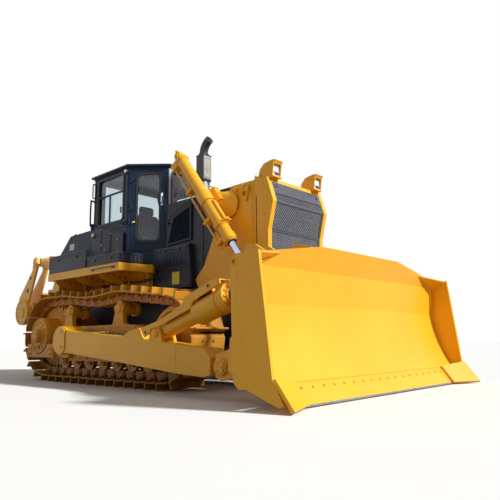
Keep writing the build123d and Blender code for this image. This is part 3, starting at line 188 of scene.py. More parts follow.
# Rubber, vinyl and moulded plastic: an even colour with a fine cast texture
def mouldedPolymer(name, polymer):
    material, tree, point = startMaterial(name)
    texture = addNode(tree, "TexVoronoi", {"Vector": point, "Scale": polymer["grain"]})
    clouds = addNode(tree, "TexNoise", {"Vector": point, "Scale": 5.0, "Detail": 3.0})
    colour = addNode(tree, "Mix", {0: clouds, 6: polymer["colour"], 7: polymer["shade"]},
                     data_type="RGBA")
    bump = addNode(tree, "Bump", {"Height": texture, "Strength": 0.12, "Distance": 0.001})
    shader = addNode(tree, "BsdfPrincipled", {
        "Base Color": colour.outputs[2], "Roughness": polymer["rough"], "Normal": bump, "IOR": 1.5})
    addNode(tree, "OutputMaterial", {"Surface": shader})
    return material


# black rubber for gaskets, hoses and seals; the same dark is painted shade in holes, slots and gaps
blackRubberAndPaintedShade = mouldedPolymer("epdmRubberAndPaintedShade", {
    "colour": "#0E0F10", "shade": "#17181A", "rough": 0.55, "grain": 400.0})
blackPlastic = mouldedPolymer("absPlasticConsole", {
    "colour": "#1C1D1F", "shade": "#252628", "rough": 0.5, "grain": 260.0})
blackPipe = mouldedPolymer("heatproofBlackCoating", {
    "colour": "#161718", "shade": "#222325", "rough": 0.42, "grain": 180.0})
labelYellow = mouldedPolymer("vinylLabelYellow", {
    "colour": "#E8D82E", "shade": "#DDCC2A", "rough": 0.35, "grain": 300.0})
labelPale = mouldedPolymer("vinylLabelPale", {
    "colour": "#D5D8D9", "shade": "#CDD0D2", "rough": 0.35, "grain": 300.0})
# switched-off display: black glass over a dark panel
screenGlass = mouldedPolymer("displayGlass", {
    "colour": "#08090B", "shade": "#0C0E11", "rough": 0.08, "grain": 500.0})


# Toughened window glass: clear with a faint cool tint; light passes straight through it
def windowGlass():
    material, tree, point = startMaterial("toughenedGlass")
    glass = addNode(tree, "BsdfPrincipled", {"Base Color": "#DCE6EA", "Roughness": 0.02,
                                             "IOR": 1.45, "Transmission Weight": 1.0})
    clear = addNode(tree, "BsdfTransparent", {"Color": "#D4DEE2"})
    path = addNode(tree, "LightPath").outputs
    through = addNode(tree, "Math", {0: path["Is Shadow Ray"], 1: path["Is Diffuse Ray"]},
                      operation="MAXIMUM")
    mix = addNode(tree, "MixShader", {0: through, 1: glass, 2: clear})
    addNode(tree, "OutputMaterial", {"Surface": mix})
    return material


toughGlass = windowGlass()


# Seat cloth: dark woven polyester; its 3 mm ribs are drawn wider so that they show
def seatCloth():
    material, tree, point = startMaterial("wovenPolyesterSeat")
    weft, warp = (addNode(tree, "TexWave", {"Vector": point, "Scale": 105.0, "Distortion": 0.4},
                          bands_direction=axis).outputs[1] for axis in "YZ")
    weave = addNode(tree, "Math", {0: weft, 1: warp}, operation="MULTIPLY")
    colour = addNode(tree, "Mix", {0: weave, 6: "#17181B", 7: "#2E3035"}, data_type="RGBA")
    bump = addNode(tree, "Bump", {"Height": weave, "Strength": 0.4, "Distance": 0.001})
    shader = addNode(tree, "BsdfPrincipled", {"Base Color": colour.outputs[2], "Roughness": 0.85,
                                              "Sheen Weight": 0.3, "Sheen Roughness": 0.5,
                                              "Normal": bump})
    addNode(tree, "OutputMaterial", {"Surface": shader})
    return material


polyesterCloth = seatCloth()


# Lamp lens: fluted polycarbonate over a bright reflector, drawn opaque and near-white as a painted
# reflection
def lampLens():
    material, tree, point = startMaterial("polycarbonateLens")
    flutes = addNode(tree, "TexWave", {"Vector": point, "Scale": 22.0}, bands_direction="Y")
    bump = addNode(tree, "Bump", {"Height": flutes.outputs[1], "Strength": 0.35, "Distance": 0.002})
    shader = addNode(tree, "BsdfPrincipled", {"Base Color": "#F1F3F2", "Roughness": 0.12,
                                              "IOR": 1.58, "Coat Weight": 0.8,
                                              "Coat Roughness": 0.05, "Normal": bump})
    addNode(tree, "OutputMaterial", {"Surface": shader})
    return material


lensWithPaintedReflection = lampLens()
print("materials ready")


# Shape helpers. A place turns local (u, v, w) into the machine's own x, y and z, and outlines
# lie in u and v and are carried along w.
planView = Matrix.Identity(4)
sideView = Matrix(((1, 0, 0, 0), (0, 0, 1, 0), (0, 1, 0, 0), (0, 0, 0, 1)))
frontView = Matrix(((0, 0, 1, 0), (1, 0, 0, 0), (0, 1, 0, 0), (0, 0, 0, 1)))
stripView = Matrix(((0, 0, 1, 0), (0, 1, 0, 0), (1, 0, 0, 0), (0, 0, 0, 1)))
toRight = Matrix.Scale(-1, 4, (0, 1, 0))
edgeTurn = {"smooth": 35, "bevel": 38}  # degrees: what turns less stays smooth, or unbevelled


def newShapes(count):
    return [bmesh.new() for k in range(count)]


def handed(sign, place=planView):
    return toRight @ place if sign < 0 else place


def shifted(place, u=0, v=0, w=0):
    return place @ Matrix.Translation((u, v, w))


def bothHands(middle, near, far):
    return [(hand, *sorted((middle + hand * near, middle + hand * far))) for hand in (-1, 1)]


def axisView(start, end, side=(0, 1, 0)):
    start = Vector(start)
    w = (Vector(end) - start).normalized()
    u = Vector(side)
    u = (u - w * u.dot(w)).normalized()
    turn = Matrix((u, w.cross(u), w)).transposed().to_4x4()
    return Matrix.Translation(start) @ turn


def facing(spot, outward):
    side = (1, 0, 0) if abs(Vector(outward).normalized().x) < 0.9 else (0, 1, 0)
    return axisView(spot, Vector(spot) + Vector(outward), side)


def prism(shape, outline, start, end, place=planView):
    lower = [shape.verts.new(place @ Vector((u, v, start))) for u, v in outline]
    upper = [shape.verts.new(place @ Vector((u, v, end))) for u, v in outline]
    shape.faces.new(list(reversed(lower)))
    shape.faces.new(upper)
    for i, corner in enumerate(lower):
        j = (i + 1) % len(lower)
        shape.faces.new((corner, lower[j], upper[j], upper[i]))


def band(shape, outer, inner, start, end, place=planView):
    edges = ((outer, start), (outer, end), (inner, end), (inner, start))
    rings = [[shape.verts.new(place @ Vector((u, v, w))) for u, v in outline]
             for outline, w in edges]
    for i in range(len(outer)):
        j = (i + 1) % len(outer)
        for a, b in zip(rings, rings[1:] + rings[:1]):
            shape.faces.new((a[i], a[j], b[j], b[i]))


def block(shape, low, high, place=planView):
    corners = [(low[0], low[1]), (high[0], low[1]), (high[0], high[1]), (low[0], high[1])]
    prism(shape, corners, low[2], high[2], place)


def lathe(shape, profile, place=planView, sides=24, closed=False):
    rings = []
    for radius, w in profile:
        count = sides if radius else 1
        turns = [2 * math.pi * i / sides for i in range(count)]
        spots = [(radius * math.cos(a), radius * math.sin(a), w) for a in turns]
        rings.append([shape.verts.new(place @ Vector(spot)) for spot in spots])
    for a, b in zip(rings, rings[1:] + (rings[:1] if closed else [])):
        for i in range(sides):
            j = (i + 1) % sides
            corners = [a[i % len(a)], a[j % len(a)], b[j % len(b)], b[i % len(b)]]
            shape.faces.new(list(dict.fromkeys(corners)))


def disc(shape, radius, low, high, place=planView, sides=24):
    lathe(shape, [(0, low), (radius, low), (radius, high), (0, high)], place, sides)


def rod(shape, start, end, radius, sides=16):
    reach = (Vector(end) - Vector(start)).length
    disc(shape, radius, 0, reach, facing(start, Vector(end) - Vector(start)), sides)


def ring(shape, place, outer, inner, start, end, sides=32):
    lathe(shape, [(outer, start), (outer, end), (inner, end), (inner, start)], place, sides, True)


def curvePoints(points, steps=8):
    line = [Vector(p) for p in points]
    line = [2 * line[0] - line[1]] + line + [2 * line[-1] - line[-2]]
    smooth = []
    for a, b, c, d in zip(line, line[1:], line[2:], line[3:]):
        for i in range(steps):
            t = i / steps
            smooth.append(0.5 * (2 * b + (c - a) * t + (2 * a - 5 * b + 4 * c - d) * t ** 2
                                 + (3 * b - a - 3 * c + d) * t ** 3))
    return smooth + [line[-2]]


def pipe(shape, points, radius, sides=12):
    line = [Vector(p) for p in points]
    normal = None
    rings = []
    for i, here in enumerate(line):
        ahead = (line[min(i + 1, len(line) - 1)] - line[max(i - 1, 0)]).normalized()
        if normal is None:
            normal = ahead.orthogonal().normalized()
        normal = (normal - ahead * normal.dot(ahead)).normalized()
        across = ahead.cross(normal)
        rings.append([shape.verts.new(here + radius * (normal * math.cos(a) + across * math.sin(a)))
                      for a in (2 * math.pi * k / sides for k in range(sides))])
    for a, b in zip(rings, rings[1:]):
        for i in range(sides):
            j = (i + 1) % sides
            shape.faces.new((a[i], a[j], b[j], b[i]))
    shape.faces.new(list(reversed(rings[0])))
    shape.faces.new(rings[-1])


def bentPipe(shape, points, radius, place=planView, steps=8, sides=12):
    pipe(shape, curvePoints([place @ Vector(p) for p in points], steps), radius, sides)


def bolt(shape, spot, outward, radius, washer=True):
    place = facing(spot, outward)
    if washer:
        disc(shape, radius * 1.45, -0.002, 0.003, place, 16)
    height = radius * 0.95
    lathe(shape, [(0, 0.002), (radius, 0.002), (radius, height), (radius * 0.85, height + 0.002),
                  (0, height + 0.002)], place, 6)


def boltRow(shape, place, spots, height, radius, washer=True):
    outward = place.to_3x3() @ Vector((0, 0, 1))
    for u, v in spots:
        bolt(shape, place @ Vector((u, v, height)), outward, radius, washer)


def boltRing(shape, place, count, reach, height, radius, washer=False, start=0.5):
    turns = [2 * math.pi * (k + start) / count for k in range(count)]
    boltRow(shape, place, [(reach * math.cos(a), reach * math.sin(a)) for a in turns], height,
            radius, washer)


def roundRect(u0, u1, v0, v1, corner, steps=6):
    points = []
    for cu, cv, start in ((u1 - corner, v0 + corner, -90), (u1 - corner, v1 - corner, 0),
                          (u0 + corner, v1 - corner, 90), (u0 + corner, v0 + corner, 180)):
        for i in range(steps + 1):
            a = math.radians(start + 90 * i / steps)
            points.append((cu + corner * math.cos(a), cv + corner * math.sin(a)))
    return points


def finishPiece(name, shape, material, bevel=0.003, body="chassis", replaced=()):
    bmesh.ops.recalc_face_normals(shape, faces=shape.faces)
    bmesh.ops.translate(shape, vec=(axleShift, 0, 0), verts=shape.verts)
    mesh = bpy.data.meshes.new(name)
    shape.to_mesh(mesh)
    shape.free()
    mesh.materials.append(material)
    mesh.polygons.foreach_set("use_smooth", [True] * len(mesh.polygons))
    mesh.set_sharp_from_angle(angle=math.radians(edgeTurn["smooth"]))
    piece = bpy.data.objects.new(name, mesh)
    bpy.context.scene.collection.objects.link(piece)
    if bevel:
        rounding = piece.modifiers.new("roundedEdges", "BEVEL")
        rounding.width = bevel
        rounding.segments = 2
        rounding.limit_method = "ANGLE"
        rounding.angle_limit = math.radians(edgeTurn["bevel"])
        rounding.harden_normals = True
    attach(piece, body)
    if replaced:
        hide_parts(*replaced)
    return piece


# Tracks: the loop that the pins lie on, worked out as on the solids. It leaves the idler and
# meets the sprocket at the given degrees
chain = {"shoes": 41, "gap": 0.014, "plate": 0.095, "thick": 0.02, "grouser": 0.08, "half": 0.28,
         "sprocket": (0, 0.72), "sprocketR": 0.537, "idler": (3.15, 0.642), "idlerR": 0.467,
         "groundStart": (0.25, 0.175), "posts": ((0.68, 1.254), (2.05, 1.243)), "sag": 0.062,
         "leave": 84, "meet": 91, "rail": 0.045, "railIn": 0.06, "railOut": 0.115,
         "boss": ((0, 0.089), (0.058, 0.089), (0.058, 0.109), (0.046, 0.125), (0, 0.127)),
         "pinR": 0.022, "pinHalf": 0.1395, "plateBolt": 0.088}


def arcPoints(centre, radius, start, end, steps=60):
    turns = [math.radians(start + (end - start) * i / steps) for i in range(steps)]
    return [Vector((centre[0] + radius * math.cos(a), centre[1] + radius * math.sin(a)))
            for a in turns]


def linePoints(start, end, droop=0, steps=60):
    start = Vector(start)
    run = Vector(end) - start
    return [start + run * t - Vector((0, 4 * droop * t * (1 - t)))
            for t in (i / steps for i in range(steps))]


def pinLoop(c):
    sprocket, idler, ground = c["sprocket"], c["idler"], c["groundStart"]
    rearPost, frontPost = c["posts"]
    idlerTop = arcPoints(idler, c["idlerR"], c["leave"], c["leave"] + 1, 1)[0]
    sprocketTop = arcPoints(sprocket, c["sprocketR"], c["meet"], c["meet"] + 1, 1)[0]
    loop = linePoints((sprocket[0], sprocket[1] - c["sprocketR"]), ground, 0, 10)
    loop += linePoints(ground, (idler[0], ground[1]))
    loop += arcPoints(idler, c["idlerR"], -90, c["leave"])
    loop += linePoints(idlerTop, frontPost)
    loop += linePoints(frontPost, rearPost, c["sag"])
    loop += linePoints(rearPost, sprocketTop)
    loop += arcPoints(sprocket, c["sprocketR"], c["meet"], 270)
    reach = [0]
    for here, ahead in zip(loop, loop[1:] + loop[:1]):
        reach.append(reach[-1] + (ahead - here).length)
    pins = []
    i = 0
    for k in range(c["shoes"]):
        want = reach[-1] * k / c["shoes"]
        while reach[i + 1] < want:
            i += 1
        share = (want - reach[i]) / (reach[i + 1] - reach[i])
        pins.append(loop[i].lerp(loop[(i + 1) % len(loop)], share))
    return pins


def linkPlaces(pins, sign):
    for here, ahead in zip(pins, pins[1:] + pins[:1]):
        run = (ahead - here).normalized()
        place = Matrix(((run.x, run.y, 0, here.x), (0, 0, 1, trackY), (run.y, -run.x, 0, here.y),
                        (0, 0, 0, 1)))
        yield handed(sign, place), (ahead - here).length


def trackShoes(side, c, places):
    shape = bmesh.new()
    low = c["plate"] - c["thick"]
    tip = c["plate"] + c["grouser"]
    for place, pitch in places:
        profile = [(c["gap"], low), (c["gap"], tip - 0.004), (c["gap"] + 0.003, tip),
                   (c["gap"] + 0.019, tip), (c["gap"] + 0.023, tip - 0.004),
                   (c["gap"] + 0.028, c["plate"] + 0.012), (c["gap"] + 0.044, c["plate"]),
                   (pitch - 0.02, c["plate"]), (pitch - 0.002, c["plate"] - 0.01),
                   (pitch + 0.004, low - 0.002), (pitch + 0.026, low - 0.006),
                   (pitch + 0.026, low - 0.014), (pitch - 0.006, low - 0.012), (pitch - 0.034, low)]
        prism(shape, profile, -c["half"], c["half"], place)
    finishPiece("trackShoes" + side.capitalize(), shape, shoeSteel, 0.0025,
                replaced=("track_" + side,))


def trackLinks(side, c, places):
    shape = bmesh.new()
    low = -c["rail"]
    top = c["plate"] - c["thick"]
    for place, pitch in places:
        middle = [(0.07, top), (0.078, 0.046), (0.066, 0.02), (0.06, low + 0.012), (0.068, low),
                  (pitch - 0.062, low), (pitch - 0.054, low + 0.012), (pitch - 0.06, 0.02),
                  (pitch - 0.072, 0.046), (pitch - 0.064, top)]
        for hand in (-1, 1):
            inner, outer = sorted((hand * c["railIn"], hand * c["railOut"]))
            prism(shape, middle, inner, outer, place)
            near, far = sorted((hand * 0.062, hand * 0.086))
            prism(shape, [(-0.034, -0.03), (0.02, low), (0.07, low), (0.07, 0.046), (0.02, 0.046),
                          (-0.034, 0.03)], near, far, place)
            disc(shape, 0.046, near, far, place, 20)
            near, far = sorted((hand * 0.089, hand * 0.119))
            prism(shape, [(pitch + 0.034, -0.03), (pitch - 0.02, low), (pitch - 0.07, low),
                          (pitch - 0.076, 0.04), (pitch - 0.02, 0.05), (pitch + 0.034, 0.03)], near,
                  far, place)
            # round boss over each pin, with a raised collar
            ahead = shifted(place, pitch)
            lathe(shape, [(r, hand * w) for r, w in c["boss"]][::hand], ahead, 24)
            tip = hand * 0.136
            lathe(shape, [(0, hand * 0.1), (0.036, hand * 0.1), (0.033, tip), (0, tip)], ahead, 20)
    finishPiece("trackLinks" + side.capitalize(), shape, linkEnamel)


def trackPins(side, c, places):
    shape = bmesh.new()
    half = c["pinHalf"]
    for place, pitch in places:
        lathe(shape, [(0, -half), (c["pinR"] - 0.002, -half), (c["pinR"], 0.0025 - half),
                      (c["pinR"], half - 0.0025), (c["pinR"] - 0.002, half), (0, half)], place, 20)
        for u in (0.074, pitch - 0.052):
            for w in (-c["plateBolt"], c["plateBolt"]):
                disc(shape, 0.017, c["plate"], c["plate"] + 0.013,
                     shifted(place, u, 0, w) @ Matrix.Rotation(-math.pi / 2, 4, "X"), 6)
    finishPiece("trackPins" + side.capitalize(), shape, shoeSteel, 0)


def makeTracks(c):
    pins = pinLoop(c)
    for side, sign in bothSides:
        places = list(linkPlaces(pins, sign))
        for makePart in (trackShoes, trackLinks, trackPins):
            makePart(side, c, places)


makeTracks(chain)
print("tracks ready")

# Grille: a bent steel frame with a bare name band, a louvre strip and two diamond meshes
grille = {"rows": ((4.259, 1.42), (4.272, 2.002), (4.361, 2.359), (4.283, 2.63)), "half": 0.517,
          "rim": 0.03, "skin": 0.016, "cell": (0.046, 0.036), "strand": 0.0085, "band": 0.165,
          "louvres": 4, "bar": 0.045}


def leaningView(low, high):
    v = Vector((high[0] - low[0], 0, high[1] - low[1]))
    length = v.length
    v.normalize()
    u = Vector((0, 1, 0))
    turn = Matrix((u, v, u.cross(v))).transposed().to_4x4()
    return Matrix.Translation((low[0], 0, low[1])) @ turn, length


def diamondMesh(shape, g, place, half, low, high):
    slope = g["cell"][1] / g["cell"][0]
    drop = 2 * half * slope
    count = int((high - low + drop) / g["cell"][1])
    for hand in (-1, 1):
        for k in range(count + 1):
            base = low - drop + g["cell"][1] * (k + 0.5)
            ends = []
            for t in (max(0.0, (low - base) / drop), min(1.0, (high - base) / drop)):
                ends.append(Vector((hand * (-half + 2 * half * t), base + drop * t, 0)))
            if (ends[1] - ends[0]).length < 0.02:
                continue
            start, end = (place @ Vector((p.x, p.y, -0.01 - 0.002 * hand)) for p in ends)
            strip = axisView(start, end, place.to_3x3() @ Vector((0, 0, 1)))
            s = g["strand"] / 2
            block(shape, (-0.002, -s, 0), (0.002, s, (end - start).length), strip)


def makeGrille(g):
    frameShape, mesh, latches = newShapes(3)
    half = g["half"]
    for index, (low, high) in enumerate(zip(g["rows"], g["rows"][1:])):
        place, length = leaningView(low, high)
        for hand in (-1, 1):
            u0, u1 = sorted((hand * half, hand * (half - g["rim"])))
            block(frameShape, (u0, 0, -g["skin"]), (u1, length, 0), place)
        inner = half - g["rim"]
        if index < 2:
            bottom = g["bar"] / 2 if index else g["rim"]
            block(frameShape, (-inner, 0, -g["skin"]), (inner, bottom, 0), place)
            block(frameShape, (-inner, length - g["bar"] / 2, -g["skin"]), (inner, length, 0),
                  place)
            diamondMesh(mesh, g, place, inner, bottom, length - g["bar"] / 2)
        else:
            block(frameShape, (-inner, 0, -g["skin"]), (inner, 0.014, 0), place)
            block(frameShape, (-inner, length - g["band"], -g["skin"]), (inner, length, 0), place)
            pitch = (length - g["band"] - 0.014) / g["louvres"]
            for k in range(g["louvres"]):
                v = 0.014 + pitch * k
                prism(mesh, [(v, -0.014), (v + 0.004, -0.014), (v + pitch * 0.45, -0.002),
                             (v + pitch * 0.45 - 0.004, -0.002)], -inner, inner, place @ frontView)
    finishPiece("grilleFrame", frameShape, greyEnamel, replaced=("grille",))
    finishPiece("grilleMesh", mesh, meshEnamel, 0)
    place, length = leaningView(*g["rows"][2:])
    for hand in (-1, 1):
        spot = shifted(place, hand * 0.445, length - 0.055)
        lathe(latches, [(0, 0), (0.024, 0), (0.024, 0.005), (0.016, 0.009), (0, 0.009)], spot, 20)
        block(latches, (-0.005, -0.02, 0.006), (0.005, 0.02, 0.013), spot)
    finishPiece("grilleLatches", latches, blackPlastic, 0.001)


makeGrille(grille)

# Lamps: a pale reflector (a painted reflection) in each yellow hood, with a split lens and a dark
# slot below
lamp = {"y": 0.45, "half": 0.066, "face": 4.3, "low": 2.714, "high": 2.862, "split": 2.764,
        "boltOut": 0.086, "hingeX": 4.052}


def makeLamps(g):
    housing, lens, dark, fixings = newShapes(4)
    rim = g["half"] + 0.004
    split = g["split"]
    for y in (-g["y"], g["y"]):
        place = Matrix.Translation((g["face"], y, 0)) @ frontView
        band(housing, roundRect(-rim, rim, g["low"], g["high"], 0.012),
             roundRect(-rim + 0.01, rim - 0.01, g["low"] + 0.01, g["high"] - 0.01, 0.008), -0.05,
             0.008, place)
        prism(housing, roundRect(-rim, rim, g["low"], g["high"], 0.012), -0.125, -0.03, place)
        block(housing, (-rim + 0.006, split - 0.007, -0.03), (rim - 0.006, split + 0.007, 0.01),
              place)
        prism(lens, roundRect(-rim + 0.009, rim - 0.009, split + 0.007, g["high"] - 0.01, 0.01),
              -0.02, 0.002, place)
        prism(lens, roundRect(-rim + 0.009, -0.018, g["low"] + 0.01, split - 0.007, 0.006), -0.02,
              0.0, place)
        prism(dark, roundRect(-0.014, rim - 0.01, g["low"] + 0.011, split - 0.008, 0.008), -0.02,
              0.003, place)
        for hand in (-1, 1):
            for x, z, radius in ((4.12, 2.735, 0.011), (4.3, 2.745, 0.009)):
                bolt(fixings, (x, y + hand * g["boltOut"], z), (0, hand, 0), radius)
        rod(fixings, (4.075, y, 2.7), (4.02, y, 2.712), 0.016)
        rod(fixings, (g["hingeX"], y, 2.683), (g["hingeX"], y, 2.74), 0.022)
        bolt(fixings, (g["hingeX"], y, 2.738), (0, 0, 1), 0.016)
    finishPiece("lampHousings", housing, palePaintedReflection, 0.002, replaced=("headlamps",))
    finishPiece("lampLenses", lens, lensWithPaintedReflection)
    finishPiece("lampSlots", dark, blackPlastic, 0.002)
    finishPiece("lampFixings", fixings, yellowEnamel, 0.0015)


makeLamps(lamp)

# Exhaust: square muffler in clamps with a pale heat panel, and a black elbow. Each collar has
# its radius, low and high
stack = {"x": 2.65, "y": -0.2, "half": 0.085, "low": 3.03, "high": 3.45, "pipe": 0.066,
         "wall": 0.006, "bend": 0.23, "turn": 65, "knee": 3.47,
         "collars": ((0.078, 2.685, 2.85), (0.088, 2.85, 2.868), (0.07, 2.868, 2.9),
                     (0.098, 2.9, 2.922), (0.092, 2.922, 2.942), (0.098, 2.942, 2.962),
                     (0.07, 2.962, 3.03)), "clampBolts": (2.911, 2.951)}


def makeExhaust(g):
    centre = Matrix.Translation((g["x"], g["y"], 0))
    muffler, panel, elbow = newShapes(3)
    outline = roundRect(-g["half"], g["half"], -g["half"], g["half"], 0.016)
    prism(muffler, outline, g["low"], g["high"], centre)
    rim = roundRect(-g["half"] - 0.004, g["half"] + 0.004, -g["half"] - 0.004, g["half"] + 0.004,
                    0.018)
    for z in (g["low"] + 0.004, g["high"] - 0.022):
        prism(muffler, rim, z, z + 0.018, centre)
    finishPiece("mufflerBody", muffler, blackPipe, replaced=("exhaust",))
    place = Matrix.Translation((g["x"] + g["half"], g["y"], 0)) @ frontView
    prism(panel, roundRect(-0.078, 0.078, g["low"] + 0.03, g["high"] - 0.03, 0.012), 0, 0.006,
          place)
    band(panel, roundRect(-0.062, 0.062, g["low"] + 0.055, g["high"] - 0.055, 0.012),
         roundRect(-0.052, 0.052, g["low"] + 0.065, g["high"] - 0.065, 0.01), 0.004, 0.012, place)
    prism(panel, roundRect(-0.012, 0.012, g["low"] + 0.12, g["high"] - 0.1, 0.008), 0.004, 0.012,
          place)
    for radius, low, high in g["collars"]:
        disc(panel, radius, low, high, centre, 32)
    for z in g["clampBolts"]:
        for turn in (0.6, 0.6 + math.pi):
            spot = Vector((g["x"] + 0.105 * math.cos(turn), g["y"] + 0.105 * math.sin(turn), z))
            rod(panel, spot - Vector((0, 0.03, 0)), spot + Vector((0, 0.03, 0)), 0.007, 10)
    finishPiece("mufflerPanelAndClamps", panel, aluminisedSteel, 0.002)
    turns = [math.radians(g["turn"] * i / 12) for i in range(13)]
    line = [Vector((g["x"], g["y"], g["high"] - 0.01))]
    line += [Vector((g["x"] + g["bend"] * (1 - math.cos(a)), g["y"],
                     g["knee"] + g["bend"] * math.sin(a))) for a in turns]
    for radius, points in ((g["pipe"], line), (g["pipe"] - g["wall"], list(reversed(line[1:])))):
        pipe(elbow, points, radius, 28)
    # the outer and the inner skin are joined at the mouth, which leaves the pipe open
    caps = [face for face in elbow.faces if len(face.verts) > 4]
    bmesh.ops.delete(elbow, geom=[caps[1], caps[2]], context="FACES_ONLY")
    rims = [edge for edge in elbow.edges if edge.is_boundary]
    bmesh.ops.bridge_loops(elbow, edges=rims)
    lathe(elbow, [(0.0655, 3.45), (0.08, 3.45), (0.08, 3.475), (0.0655, 3.475)], centre, 28, True)
    finishPiece("exhaustElbow", elbow, blackPipe, 0.0015)


makeExhaust(stack)

# Nose: seams, a slot, the hook of the bonnet's stay, and bolts
nose = {"y": 0.59, "seams": (4.045, 4.01), "low": 1.22, "high": 2.655, "slot": 4.085,
        "bolts": ((3.32, 2.06), (3.6, 2.62), (4.19, 1.3), (4.19, 1.75), (4.22, 2.2), (4.2, 2.6)),
        "yoke": (3.4, 2.5), "capAt": (3.508, 2.581), "capUp": (0.8004, 0.5995),
        "topBolts": ((3.72, -0.5), (4.2, -0.5), (3.72, -0.17), (4.2, -0.17), (3.72, 0.17),
                     (4.2, 0.17), (3.72, 0.5), (4.2, 0.5)), "top": 2.683}


def makeNose(g):
    metal, dark = newShapes(2)
    for sign in (-1, 1):
        place = handed(sign, sideView)
        y = g["y"]
        for x in g["seams"]:
            block(metal, (x - 0.004, g["low"], y - 0.002), (x + 0.004, g["high"], y + 0.006), place)
        # the slot is a dark sheet: painted shade
        prism(dark, roundRect(g["slot"] - 0.007, g["slot"] + 0.007, 1.62, 2.46, 0.006), y - 0.002,
              y + 0.0015, place)
        # folded hook of the bonnet's stay
        block(metal, (3.86, 2.5, y), (3.885, 2.66, y + 0.055), place)
        prism(metal, [(3.8, 2.545), (3.965, 2.545), (3.985, 2.6), (3.93, 2.615), (3.8, 2.6)],
              y + 0.004, y + 0.04, place)
        prism(metal, [(3.9, 2.42), (3.925, 2.42), (3.96, 2.56), (3.93, 2.56)], y + 0.002, y + 0.03,
              place)
        rod(metal, (3.78, sign * (y + 0.02), 2.585), (3.78, sign * (y + 0.085), 2.585), 0.018)
        boltRow(metal, place, g["bolts"], y + 0.001, 0.01)
        ring(metal, shifted(place, *g["yoke"]), 0.15, 0.128, 0.69, 0.706)
        # bolts of the lift cylinder's bearing cap
        (x, z), (upX, upZ) = g["capAt"], g["capUp"]
        for run in (-0.112, 0.078):
            for out in (0.665, 0.716):
                bolt(metal, (x + upZ * run, sign * out, z - upX * run), (upX, 0, upZ), 0.013)
    boltRow(metal, planView, g["topBolts"], g["top"], 0.011)
    for x in (3.95, 4.12):
        block(metal, (x - 0.004, -0.586, 2.681), (x + 0.004, 0.586, 2.686))
    finishPiece("noseFittings", metal, yellowEnamel, 0.002)
    finishPiece("noseSlots", dark, blackRubberAndPaintedShade, 0)


makeNose(nose)

# Radiator: upright fins and level tubes behind the grille, drawn coarse so that they show
radiator = {"x": 4.17, "half": 0.46, "low": 1.26, "high": 2.56, "fins": 46, "tubes": 12}


def makeRadiator(g):
    core = bmesh.new()
    for k in range(g["fins"]):
        y = -g["half"] + 2 * g["half"] * k / (g["fins"] - 1)
        block(core, (g["x"], y - 0.002, g["low"]), (g["x"] + 0.006, y + 0.002, g["high"]))
    for k in range(g["tubes"]):
        z = g["low"] + 0.02 + (g["high"] - g["low"] - 0.04) * k / (g["tubes"] - 1)
        rod(core, (g["x"] + 0.008, -g["half"] - 0.008, z), (g["x"] + 0.008, g["half"] + 0.008, z),
            0.006, 8)
    finishPiece("radiatorFins", core, blackRubberAndPaintedShade, 0)


makeRadiator(radiator)
print("front ready")

# Cab: six walls in plan, numbered from the right side's rear corner, and what is fixed to them.
# Each window has its wall, its inset from that wall's ends, and its low and high edges
cab = {"plan": ((0.6, -0.84), (1.6, -0.85), (2.07, -0.42), (2.07, 0.42), (1.6, 0.85), (0.6, 0.84)),
       "windows": ((0, 0.13, 2.52, 3.29), (2, 0.06, 2.74, 3.29), (4, 0.13, 2.52, 3.29),
                   (5, 0.18, 2.56, 3.29)), "corner": 0.06, "floor": 1.72, "top": 3.36,
       "doorIn": 0.042, "doorLow": 1.99, "doorHigh": 3.31, "latchSide": 0.095, "hingeSide": 0.1,
       "windowLow": 0.17, "windowHigh": 0.07, "doorCorner": 0.08}


def wallView(index):
    a = Vector(cab["plan"][index]).to_3d()
    b = Vector(cab["plan"][(index + 1) % 6]).to_3d()
    u = (b - a).normalized()
    v = Vector((0, 0, 1))
    turn = Matrix((u, v, u.cross(v))).transposed().to_4x4()
    return Matrix.Translation(a) @ turn, (b - a).length


def gasket(shape, place, edges, corner, lip=0.02, lap=0.014):
    u0, u1, v0, v1 = edges
    outer = roundRect(u0 - lip, u1 + lip, v0 - lip, v1 + lip, corner + lip)
    inner = roundRect(u0 + lap, u1 - lap, v0 + lap, v1 - lap, corner - lap)
    band(shape, outer, inner, 0.0, 0.01, place)
    shell = roundRect(u0 + 0.001, u1 - 0.001, v0 + 0.001, v1 - 0.001, corner)
    band(shape, shell, inner, -0.021, 0.0, place)


def makeWindowGaskets():
    shape = bmesh.new()
    for index, inset, low, high in cab["windows"]:
        place, length = wallView(index)
        gasket(shape, place, (inset, length - inset, low, high), cab["corner"])
    finishPiece("windowGaskets", shape, blackRubberAndPaintedShade)


